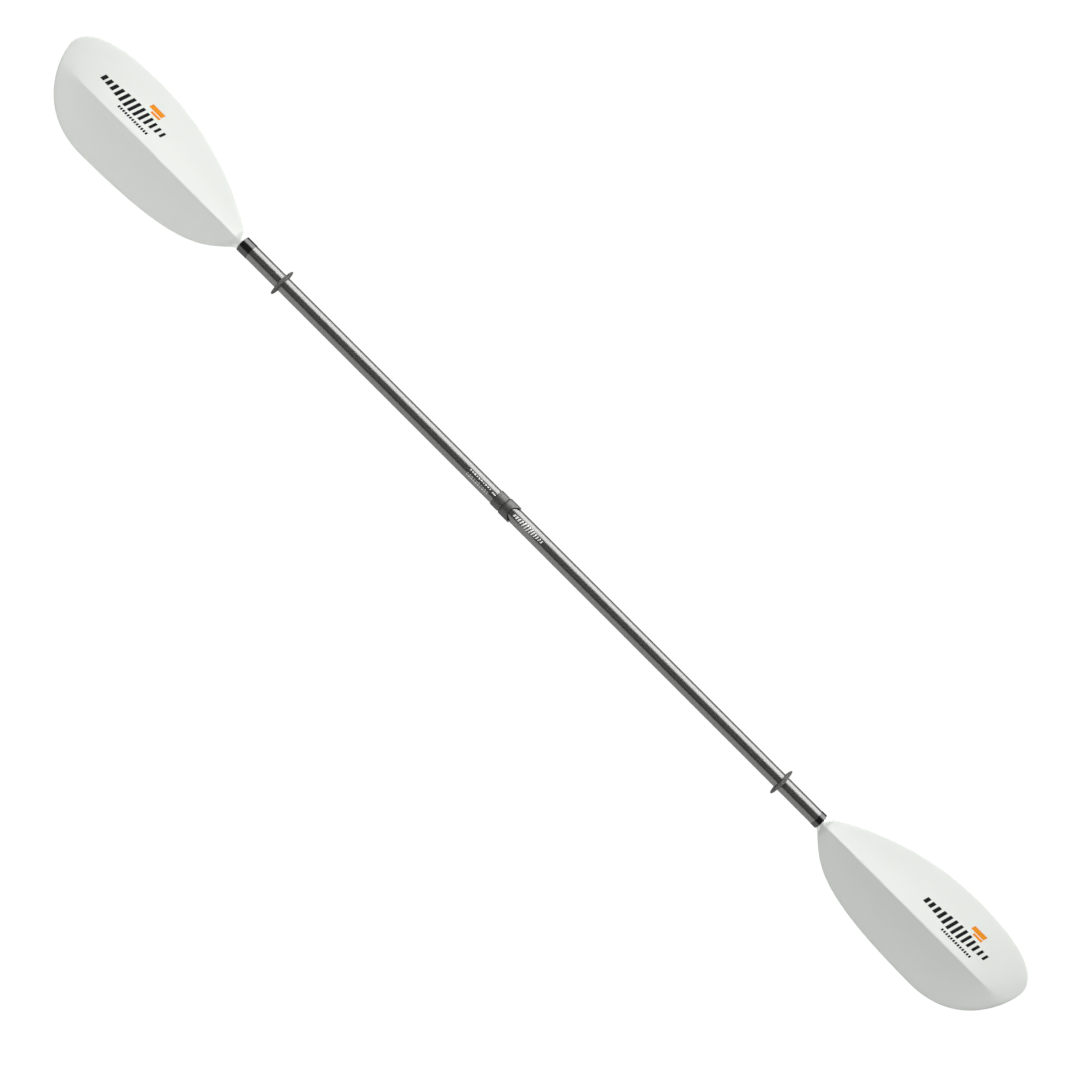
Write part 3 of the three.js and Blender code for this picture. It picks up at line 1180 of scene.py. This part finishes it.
@dataclass
class DripRings(Assembly):
    """The two rubber drip rings: a thin disc with a rounded rim on a short hub."""

    bore: float = 14.6
    hub_radius: float = 16.2
    fillet: tuple[Point, ...] = ((1.75, 16.9), (1.2, 18.0), (1.0, 19.6))
    rim_half: float = 0.75
    rounding: float = 0.45

    def build(self) -> None:
        """Models one ring, and copies it to the other place."""
        span = Span.of("right_drip_ring")
        middle, half = span.middle, (span.end - span.start) / 2
        rise = [(half, self.bore), (half, self.hub_radius), *self.fillet, (self.rim_half, span.radius)]
        outline = [(middle - x, radius) for x, radius in rise]
        outline += [(middle + x, radius) for x, radius in reversed(rise)]
        self.right = turned("right_drip_ring_rubber", outline, self.rounding)
        self.left = mirrored_copy(self.right, "left_drip_ring_rubber")

    def dress(self) -> None:
        """Finishes both rings."""
        self.fit(self.left, Body.LEFT_DRIP_RING, "left_drip_ring", Slot.RUBBER, Palette.rubber)
        self.fit(self.right, Body.RIGHT_DRIP_RING, "right_drip_ring", Slot.RUBBER, Palette.rubber)


# ---- Ferrule ------------------------------------------------------------------------------


@dataclass(frozen=True)
class FerruleSizes:
    """The sizes that the ferrule's pieces share."""

    seat: float = 12.6
    spigot: float = 11.2
    socket: float = 11.45
    running: float = 0.25
    hollow: float = 8.0
    past_face: float = 1.0
    key_half_width: float = 2.0
    key_reach: float = 3.2
    key_span: Point = (12.0, 14.1)
    click_width: float = 4.4
    nib_radius: float = 0.9
    nib_place: float = 11.9

    def keys(self, start: float, end: float, margin: float) -> Piece:
        """Makes the two keys, or the room for them.

        Args:
            start: their low end along X.
            end: their high end along X.
            margin: how much larger than the keys they are.

        Returns:
            Both blocks, as one tool.
        """
        near, far = self.key_span[0] - margin, self.key_span[1] + margin
        half = self.key_half_width + margin
        return turned_copies(block((start, near, -half), (end, far, half)), (0, 180))


@dataclass
class Spigot(Assembly):
    """The spigot on the left half, with its seal and the ring that holds the feather collar."""

    sizes: FerruleSizes = FerruleSizes()
    shoulder: float = -86.8
    retainer_groove: Point = (1.4, 10.3)
    latch_groove: Triple = (-61.5, 2.0, 10.1)
    seal_groove: Point = (2.4, 9.6)
    seal_wire: float = 0.8
    seal_points: int = 24
    nose: Point = (14.0, 9.8)
    rounding: float = 0.15
    click_angles: tuple[int, ...] = tuple(range(-60, 61, 15))

    def build(self) -> None:
        """Models the spigot and its seal."""
        span = Span.of("ferrule_spigot")
        surface = self.sizes.spigot
        retainer = Span.of("collar_retaining_ring").middle
        seal = Span.of("spigot_seal_ring")
        outline = [
            (span.start, self.sizes.hollow),
            (span.start, self.sizes.seat),
            (self.shoulder, self.sizes.seat),
            (self.shoulder, surface),
            *groove(retainer, *self.retainer_groove, surface),
            *groove(*self.latch_groove, surface),
            *groove(seal.middle, *self.seal_groove, surface),
            (span.end - self.nose[0], surface),
            (span.end, self.nose[1]),
            (span.end, self.sizes.hollow),
        ]
        self.spigot = turned("ferrule_spigot_moulding", outline, self.rounding)
        click = Span.of("click_spring").middle
        half = self.sizes.click_width / 2
        up = self.sizes.nib_place
        room = self.sizes.nib_radius + self.sizes.running
        notch = rod(room, (click - half, 0, up), (click + half, 0, up))
        carve(self.spigot, turned_copies(notch, self.click_angles))
        complete(self.spigot)
        self.seal = self._seal(seal)

    def _seal(self, seal: Span) -> Piece:
        """Turns the O-ring.

        Args:
            seal: where the CAD ring lies.

        Returns:
            The O-ring.
        """
        wire, middle, radius = self.seal_wire, seal.middle, seal.radius - self.seal_wire
        angles = [index * FULL_TURN / self.seal_points for index in range(self.seal_points)]
        section = [(middle + wire * math.cos(angle), radius + wire * math.sin(angle)) for angle in angles]
        return turned("spigot_o_ring", section)

    def dress(self) -> None:
        """Finishes the spigot, the seal and the retaining ring."""
        self.fit(self.spigot, Body.LEFT_HALF, "ferrule_spigot", Slot.FERRULE, Palette.ferrule)
        self.fit(self.seal, Body.LEFT_HALF, "spigot_seal_ring", Slot.RUBBER, Palette.rubber)
        self.keep("collar_retaining_ring", Palette.steel)


@dataclass
class FeatherCollar(Assembly):
    """The collar that sets the blades' angle, with engraved ticks and its click spring."""

    sizes: FerruleSizes = FerruleSizes()
    rim_bore: float = 14.6
    rim_step: float = 0.6
    chamfers: tuple[Point, Point] = ((0.9, 0.4), (2.1, 1.1))
    counterbore: float = 12.9
    shoulder: float = -73.0
    rounding: float = 0.18
    key_play: float = 0.3
    click_room: float = 13.3
    rib_margin: Point = (0.2, 0.5)
    rib_half_width: float = 1.5
    tick_start: float = 1.6
    tick_width: float = 0.5
    tick_depth: float = 0.35
    short_tick: float = 2.6
    long_tick: float = 4.6
    ticks: tuple[int, ...] = tuple(range(-60, 61, 15))
    long_ticks: tuple[int, ...] = (-60, -30, 0, 30, 60)

    def build(self) -> None:
        """Models the collar."""
        span = Span.of("feather_collar")
        bore = self.sizes.spigot + self.sizes.running
        click = Span.of("click_spring").middle
        (near, drop), (far, slope) = self.chamfers
        outline = [
            (span.start + self.rim_step, bore),
            (span.start + self.rim_step, self.rim_bore),
            (span.start, self.rim_bore),
            (span.start, span.radius - drop),
            (span.start + near, span.radius),
            (span.end - far, span.radius),
            (span.end, span.radius - slope),
            (span.end, self.counterbore),
            (self.shoulder, self.counterbore),
            (self.shoulder, bore),
            *reversed(groove(click, self.sizes.click_width, self.click_room, bore)),
        ]
        self.collar = turned("feather_collar_grip", outline, self.rounding)
        reach = span.end - self.sizes.key_reach - self.key_play
        carve(self.collar, self.sizes.keys(reach, span.end + self.sizes.past_face, self.key_play))
        half, width = self.sizes.click_width / 2 + self.rib_margin[0], self.rib_half_width
        low, high = -self.click_room - self.rib_margin[1], -self.sizes.nib_place
        carve(self.collar, block((click - half, -width, low), (click + half, width, high)), Carve.JOIN)
        carve(self.collar, self._ticks(span, self.long_ticks, self.long_tick))
        short = [angle for angle in self.ticks if angle not in self.long_ticks]
        carve(self.collar, self._ticks(span, short, self.short_tick))
        complete(self.collar)

    def _ticks(self, span: Span, angles: Sequence[int], length: float) -> Piece:
        """Makes the tool that engraves some of the ticks.

        Args:
            span: where the collar lies.
            angles: each tick's angle from the top, in degrees.
            length: the ticks' length.

        Returns:
            The ticks, as one tool.
        """
        start, half_width = span.start + self.tick_start, self.tick_width / 2
        low, high = span.radius - self.tick_depth, span.radius + self.sizes.past_face
        tick = block((start, -half_width, low), (start + length, half_width, high))
        return turned_copies(tick, angles)

    def dress(self) -> None:
        """Finishes the collar and its spring."""
        self.fit(self.collar, Body.FEATHER_COLLAR, "feather_collar", Slot.COLLAR, Palette.collar)
        self.keep("click_spring", Palette.steel)


@dataclass
class SleeveAndLatch(Assembly):
    """The right half's collar, the liner behind it, and the push-button latch in its back."""

    sizes: FerruleSizes = FerruleSizes()
    bore: float = 11.55
    tube_seat: float = 14.5
    tube_start: float = -56.1
    latch_room: Point = (2.8, 14.2)
    nose: Point = (2.8, 1.9)
    seam_gap: float = 0.15
    lip: tuple[Point, Point] = ((0.5, 0.6), (0.0, 1.6))
    lip_start: float = 1.8
    rounding: float = 0.2
    scallop: Point = (12.8, 14.8)
    scallop_flats: int = 96
    past_back: float = 3.0
    sleeve_edge: float = 0.18
    pocket_margin: float = 0.3
    pocket_floor: float = 13.0
    spring_bore: float = 1.4
    spring_floor: float = 12.0
    bore_flats: int = 32
    button_bottom: float = 15.0
    pad_depth: float = 2.0
    pad_border: float = 1.0
    pad_flats: int = 180
    pad_edge: float = 0.22
    thumb_grooves: int = 4
    groove_shares: Triple = (0.2, 0.5, 0.8)
    groove_depth: float = 0.35
    wedge: Triple = (2.2, 0.9, 0.6)
    wedge_root: float = 0.5
    wedge_tip: float = 12.3
    stop: Point = (6.0, 9.0)
    wire: float = 0.2
    wire_points: int = 10
    coil_radius: float = 0.9
    coil_turns: float = 2.5
    coil_steps: int = 60

    def build(self) -> None:
        """Models the sleeve, the liner, the button and its springs."""
        self.sleeve = self._sleeve()
        self.liner = self._liner()
        self.button = self._button()
        self.springs = {side: self._spring(f"button_spring_{side}") for side in ("upper", "lower")}

    def _sleeve(self) -> Piece:
        """Turns the sleeve, adds its keys, and cuts the scallop, the pocket and the spring bores.

        Returns:
            The sleeve.
        """
        low, high = corners("ferrule_sleeve")
        start, end, radius = Span.of("feather_collar").end + self.seam_gap, high.x, high.y
        latch = Span.of("latch_snap_ring").middle
        lip = [(end - near, radius - drop) for near, drop in self.lip]
        outline = [
            (start, self.bore),
            (start, radius - self.nose[1]),
            (start + self.nose[0], radius),
            (end - self.lip_start, radius),
            *lip,
            (end, self.tube_seat),
            (self.tube_start, self.tube_seat),
            (self.tube_start, self.bore),
            *reversed(groove(latch, *self.latch_room, self.bore)),
        ]
        sleeve = turned("ferrule_sleeve_grip", outline, self.rounding)
        carve(sleeve, self.sizes.keys(low.x, start + self.sizes.past_face, 0), Carve.JOIN)
        back = radius + self.past_back
        bite = rod(1.0, (end, 0, -back), (end, 0, back), self.scallop_flats)
        with editing(bite):
            select_everything()
            bpy.ops.transform.resize(value=(*self.scallop, 1), center_override=metres(end, 0, 0))
        carve(sleeve, bite)
        self._cut_pocket(sleeve, back)
        soften(sleeve, self.sleeve_edge)
        return sleeve

    def _cut_pocket(self, sleeve: Piece, back: float) -> None:
        """Cuts the button's pocket and the bores for its springs into the sleeve.

        Args:
            sleeve: the sleeve.
            back: how far behind the shaft's axis the cuts start.
        """
        low, high = corners("release_button")
        margin = self.pocket_margin
        floor = (high.x + margin, high.y + margin, -self.pocket_floor)
        carve(sleeve, block((low.x - margin, low.y - margin, -back), floor))
        for node in ("button_spring_upper", "button_spring_lower"):
            first, last = corners(node)
            x, y = (first.x + last.x) / 2, (first.y + last.y) / 2
            ends = (x, y, -self.spring_floor - self.past_back), (x, y, -self.spring_floor)
            carve(sleeve, rod(self.spring_bore, *ends, self.bore_flats))

    def _liner(self) -> Piece:
        """Turns the liner that the spigot slides into.

        Returns:
            The liner.
        """
        span = Span.of("ferrule_socket")
        length, opening = self.stop
        outline = [
            (span.start, span.radius),
            (span.end, span.radius),
            (span.end, opening),
            (span.end - length, opening),
            (span.end - length, self.sizes.socket),
            (span.start, self.sizes.socket),
        ]
        return turned("ferrule_socket_liner", outline, self.rounding)

    def _button(self) -> Piece:
        """Turns the thumb pad about the shaft's axis, and joins the wedge on.

        Returns:
            The button, cut out of the ring that was turned.
        """
        low, high = corners("release_button")
        start, end, top, half_width = low.x, high.x, -low.z, high.y
        pad = turned("release_button_pad", self._pad_outline(start, end, top), steps=self.pad_flats)
        past = self.sizes.past_face
        corner = (end + past, half_width, -self.button_bottom)
        carve(pad, block((start - past, -half_width, -top - past), corner), Carve.TRIM)
        carve(pad, self._wedge((start + end) / 2), Carve.JOIN)
        soften(pad, self.pad_edge, CORNER_FACES)
        return pad

    def _pad_outline(self, start: float, end: float, top: float) -> Outline:
        """Gives the pad's section along the shaft, with the grooves for the thumb.

        Args:
            start: the pad's low end.
            end: its high end.
            top: the radius of its outside.

        Returns:
            The section's corners.
        """
        pitch = (end - start - 2 * self.pad_border) / self.thumb_grooves
        inside = self.button_bottom - self.pad_depth
        outline = [(start, inside), (start, top)]
        for index in range(self.thumb_grooves):
            left = start + self.pad_border + index * pitch
            near, middle, far = (left + share * pitch for share in self.groove_shares)
            outline += [(near, top), (middle, top - self.groove_depth), (far, top)]
        return [*outline, (end, top), (end, inside)]

    def _wedge(self, middle: float) -> Piece:
        """Makes the wedge that spreads the snap ring.

        Args:
            middle: the latch's place along the shaft.

        Returns:
            The wedge, narrower towards the shaft's axis.
        """
        root, tip, half = self.wedge
        low = -self.button_bottom - self.wedge_root
        wedge = block((middle - half, -root, low), (middle + half, root, -self.wedge_tip))
        with editing(wedge):
            pick(wedge, lambda vertex: vertex.co.z > (low - self.wedge_tip) / 2 * MM)
            centre = metres(middle, 0, -self.wedge_tip)
            bpy.ops.transform.resize(value=(1, tip / root, 1), center_override=centre)
        return wedge

    def _spring(self, node: str) -> Piece:
        """Winds one of the button's coil springs.

        Args:
            node: the CAD node that it stands for.

        Returns:
            The spring, with both ends of its wire closed.
        """
        low, high = corners(node)
        deselect()
        upright = {"location": metres(self.coil_radius, 0, 0), "rotation": (math.pi / 2, 0, 0)}
        bpy.ops.mesh.primitive_circle_add(vertices=self.wire_points, radius=self.wire * MM, **upright)
        spring = bpy.context.active_object
        spring.name = f"{node}_wire"
        settle(spring)
        rise = high.z - low.z - 2 * self.wire
        steps = {"steps": self.coil_steps, "render_steps": self.coil_steps}
        change(spring, "SCREW", angle=self.coil_turns * FULL_TURN, screw_offset=rise * MM, **steps)
        with editing(spring):
            select_everything()
            bpy.ops.mesh.fill_holes(sides=0)
        spring.location = metres((low.x + high.x) / 2, (low.y + high.y) / 2, low.z + self.wire)
        settle(spring)
        complete(spring)
        return spring

    def _crush(self, spring: Piece, node: str) -> None:
        """Gives a spring a mesh of its own.

        Args:
            spring: the spring.
            node: the CAD node that it stands for; not used.
        """
        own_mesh(spring)

    def dress(self) -> None:
        """Finishes the sleeve, the liner, the button and their springs."""
        self.fit(self.sleeve, Body.RIGHT_HALF, "ferrule_sleeve", Slot.COLLAR, Palette.collar)
        self.fit(self.liner, Body.RIGHT_HALF, "ferrule_socket", Slot.FERRULE, Palette.ferrule)
        self.fit(self.button, Body.RELEASE_BUTTON, "release_button", Slot.FERRULE, Palette.ferrule)
        self.keep("latch_snap_ring", Palette.steel)
        for side, spring in self.springs.items():
            node = f"button_spring_{side}"
            self.fit(spring, Body.RIGHT_HALF, node, Slot.STEEL, Palette.steel)
            self._crush(spring, node)


# ---- Printed marks ------------------------------------------------------------------------


@dataclass(frozen=True)
class Stroke:
    """One printed bar: its middle, its size and how far its upper edge leans along X."""

    along: float
    across: float
    width: float
    height: float
    lean: float = 0.0

    def moved(self, distance: float) -> Stroke:
        """Gives the same bar at another place along X."""
        return replace(self, along=self.along + distance)


@dataclass
class PrintedMarks(Assembly):
    """Plain bars of ink on the blades and the shaft, laid on as thin films."""

    film: float = 0.12
    sheet_height: float = 60.0
    sheet_cuts: int = 7
    blade_middles: Point = (-1001.0, 993.5)
    shaft_middle: float = -9.5
    shaft_scale: float = 0.466
    wave_across: float = 34.0
    wave_count: int = 13
    wave_pitch: float = 11.5
    wave_widths: Point = (7.4, 5.0)
    wave_height: float = 11.0
    wave_swell: float = 12.0
    wave_slant: float = 0.3
    rule: Stroke = Stroke(17.0, 16.5, 3.4, 4.6, 1.2)
    rule_pitch: float = 5.4
    rule_reach: int = 6
    accents: tuple[Stroke, ...] = (
        Stroke(34.0, 57.0, 29.0, 8.0, 2.8),
        Stroke(38.0, 49.3, 20.0, 4.0, 1.4),
    )
    pointer: Stroke = Stroke(-92.2, 0.8, 8.5, 2.2)
    rows: tuple[Point, ...] = ((2.2, 2.4), (-4.4, 1.1), (-7.9, 1.4))
    row_start: float = -149.0
    row_pitch: float = 5.2
    dashes: tuple[float, ...] = (2.2, 3.6, 3.6, 2.2, 3.6, 3.6, 2.2, 3.6, 3.6, 2.2)

    def build(self, blades: Blades, shaft: Shaft) -> None:
        """Prints every mark.

        Args:
            blades: the blades, to print on.
            shaft: the shaft, to print on.
        """
        left, right = Body.LEFT_HALF, Body.RIGHT_HALF
        for middle, blade, body in zip(self.blade_middles, (blades.left, blades.right), (left, right)):
            side = "left" if body is left else "right"
            steps = range(-self.rule_reach, self.rule_reach + 1)
            rule = [self.rule.moved(middle + self.rule_pitch * step) for step in steps]
            black = self._wave(middle, self.wave_across, 1.0) + rule
            self._print(f"{side}_blade_print_black", black, blade, body, Palette.black_ink)
            orange = [accent.moved(middle) for accent in self.accents]
            self._print(f"{side}_blade_print_orange", orange, blade, body, Palette.orange_ink)
        wave = self._wave(self.shaft_middle, 0.0, self.shaft_scale)
        self._print("shaft_print_wave", wave, shaft.tubes["right"], right, Palette.white_ink)
        rows = [
            Stroke(self.row_start + self.row_pitch * step, across, length, height)
            for across, height in self.rows
            for step, length in enumerate(self.dashes)
        ]
        left_tube = shaft.tubes["left"]
        self._print("shaft_print_rows", [self.pointer, *rows], left_tube, left, Palette.white_ink)

    def _wave(self, middle: float, across: float, scale: float) -> list[Stroke]:
        """Lays out a row of leaning bars whose height swells and falls like a wave.

        Args:
            middle: the row's middle along X.
            across: the row's middle across.
            scale: its size, where 1 is the size on a blade.

        Returns:
            The bars.
        """
        strokes = []
        last = self.wave_count - 1
        for index in range(self.wave_count):
            share = index / last
            height = (self.wave_height + self.wave_swell * math.sin(math.pi * share) ** 2) * scale
            width = mix(*self.wave_widths, share) * scale
            place = middle + (index - last / 2) * self.wave_pitch * scale
            strokes.append(Stroke(place, across, width, height, height * self.wave_slant))
        return strokes

    def _print(
        self, name: str, strokes: list[Stroke], surface: Piece, body: Body, ink: Finish
    ) -> None:
        """Lays bars of ink on a surface, from the power face's side.

        Args:
            name: the film's name.
            strokes: the bars.
            surface: the piece that they are printed on.
            body: the body that the piece rides on.
            ink: the ink.
        """
        deselect()
        bpy.ops.mesh.primitive_plane_add(size=MM, location=metres(0, 0, self.sheet_height))
        film = bpy.context.active_object
        film.name = name
        settle(film)
        with editing(film):
            select_everything()
            bpy.ops.mesh.delete(type="VERT")
            for stroke in strokes:
                self._lay(film, stroke)
            select_everything()
            bpy.ops.mesh.subdivide(number_cuts=self.sheet_cuts)
        down = {"use_project_z": True, "use_positive_direction": False, "use_negative_direction": True}
        change(film, "SHRINKWRAP", target=surface, wrap_method="PROJECT", **down)
        change(film, "SOLIDIFY", thickness=self.film * MM, offset=0.0)
        complete(film)
        self.paint(film, ink)
        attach(film, body.value)
        LOG.info("%s: %d bars", name, len(strokes))

    def _lay(self, film: Piece, stroke: Stroke) -> None:
        """Adds one leaning bar to a film in edit mode.

        Args:
            film: the film.
            stroke: the bar.
        """
        centre = metres(stroke.along, stroke.across, self.sheet_height)
        bpy.ops.mesh.primitive_plane_add(size=MM, location=centre)
        size = (stroke.width, stroke.height, 1)
        bpy.ops.transform.resize(value=size, center_override=centre)
        pick(film, lambda vertex: vertex.select and vertex.co.y > centre.y)
        bpy.ops.transform.translate(value=metres(stroke.lean, 0, 0))
        bpy.ops.mesh.select_all(action="DESELECT")


# ---- Studio -------------------------------------------------------------------------------


@dataclass(frozen=True)
class Panel:
    """A soft rectangle of light: upright beside the paddle, or level above it."""

    name: str
    reach: Reach
    place: Triple
    size: Point
    radiance: float

    def build(self) -> None:
        """Hangs the panel, facing the shaft."""
        light = bpy.data.lights.new(self.name, "AREA")
        light.shape = "RECTANGLE"
        light.size, light.size_y = self.size
        light.energy = self.radiance * math.pi * light.size * light.size_y
        lamp = bpy.data.objects.new(self.name, light)
        _, y, z = self.place
        lamp.location = self.place
        facing = Vector((0, -y, 0)) if y else Vector((0, 0, -z))
        lamp.rotation_euler = facing.to_track_quat("-Z", "Y").to_euler()
        lamp.visible_camera = False
        lamp.visible_glossy = self.reach is Reach.GLOSS
        lamp.visible_diffuse = self.reach is Reach.SHADING
        bpy.context.scene.collection.objects.link(lamp)


@dataclass
class Studio:
    """A white room with soft panels, and a camera straight above the paddle."""

    camera_place: Triple = (0.001, 0.001, 3.7)
    camera_roll: float = 45.0
    lens: float = 72.86
    clip_end: float = 50.0
    ambient: float = 0.17
    floor_glow: float = 1.0
    floor_diffuse: float = 0.05
    room_radius: float = 15.0
    room_sides: int = 96
    panels: tuple[Panel, ...] = (
        Panel("key_shading", Reach.SHADING, (0.3, 2.7, 0.75), (5.0, 1.5), 7.3),
        Panel("fill_shading", Reach.SHADING, (-1.0, -2.7, 1.1), (5.0, 2.2), 1.2),
        Panel("top_shading", Reach.SHADING, (-1.0, 0.0, 3.0), (4.0, 4.0), 0.64),
        Panel("key_gloss_upper", Reach.GLOSS, (0.0, 2.5, 1.3), (5.0, 2.6), 7.8),
        Panel("key_gloss_lower", Reach.GLOSS, (0.0, 2.5, -0.45), (5.0, 0.9), 4.8),
        Panel("fill_gloss_upper", Reach.GLOSS, (0.0, -2.5, 1.15), (5.0, 2.3), 1.9),
        Panel("fill_gloss_lower", Reach.GLOSS, (0.0, -2.5, -1.25), (5.0, 2.5), 1.0),
    )

    def build(self) -> None:
        """Sets up the room, the lights and the camera."""
        self._world()
        for panel in self.panels:
            panel.build()
        self._floor()
        self._backdrop()
        self._camera()
        bpy.context.scene.view_settings.view_transform = "Standard"

    def _world(self) -> None:
        """Fills the room with an even, weak light."""
        world = bpy.data.worlds.new("studio")
        world.use_nodes = True
        background = world.node_tree.nodes["Background"]
        background.inputs["Color"].default_value = WHITE
        background.inputs["Strength"].default_value = self.ambient
        bpy.context.scene.world = world

    def _glowing(self, name: str, strength: float, diffuse: float) -> bpy.types.Material:
        """Makes a white paint that glows a little, so that it stays white in the shade.

        Args:
            name: the material's name.
            strength: how brightly it glows.
            diffuse: how much light it scatters.

        Returns:
            The material.
        """
        paint = Paint(name)
        paint.set(Base_Color=(diffuse, diffuse, diffuse, 1), Roughness=1.0, Specular_IOR_Level=0.0)
        paint.set(Emission_Color=WHITE, Emission_Strength=strength)
        return paint.material

    def _floor(self) -> None:
        """Lays the floor under the paddle's lowest point."""
        place = (0, 0, CAD_LOW.z - MM / 2)
        circle = {"vertices": self.room_sides, "radius": self.room_radius, "fill_type": "NGON"}
        deselect()
        bpy.ops.mesh.primitive_circle_add(location=place, **circle)
        floor = bpy.context.active_object
        floor.name = "studio_floor"
        paint = self._glowing("white_paper_floor", self.floor_glow, self.floor_diffuse)
        floor.data.materials.append(paint)
        floor.visible_glossy = False

    def _backdrop(self) -> None:
        """Closes the room with a white dome that only the camera sees."""
        deselect()
        ball = {"segments": self.room_sides // 2, "ring_count": self.room_sides // 4}
        bpy.ops.mesh.primitive_uv_sphere_add(radius=self.room_radius, **ball)
        dome = bpy.context.active_object
        dome.name = "studio_dome"
        dome.data.materials.append(self._glowing("white_backdrop", 1.0, 0.0))
        dome.visible_diffuse = False
        dome.visible_glossy = False
        dome.visible_shadow = False
        dome.visible_transmission = False

    def _camera(self) -> None:
        """Hangs the camera above the paddle, rolled so that the paddle lies across the picture."""
        camera = bpy.data.objects.new("camera", bpy.data.cameras.new("camera"))
        camera.data.lens = self.lens
        camera.data.clip_end = self.clip_end
        camera.location = self.camera_place
        camera.rotation_euler = (0, 0, math.radians(self.camera_roll))
        bpy.context.scene.collection.objects.link(camera)
        bpy.context.scene.camera = camera


def main() -> None:
    """Builds the studio, then each sub-assembly in order."""
    logging.basicConfig(level=logging.INFO, format="%(message)s")
    Studio().build()
    palette = Palette()
    blades, shaft = Blades(palette), Shaft(palette)
    ferrule = (Spigot(palette), FeatherCollar(palette), SleeveAndLatch(palette))
    for part in (blades, shaft, DripRings(palette), *ferrule):
        part.build()
        part.dress()
    PrintedMarks(palette).build(blades, shaft)


if __name__ == "__main__":
    main()
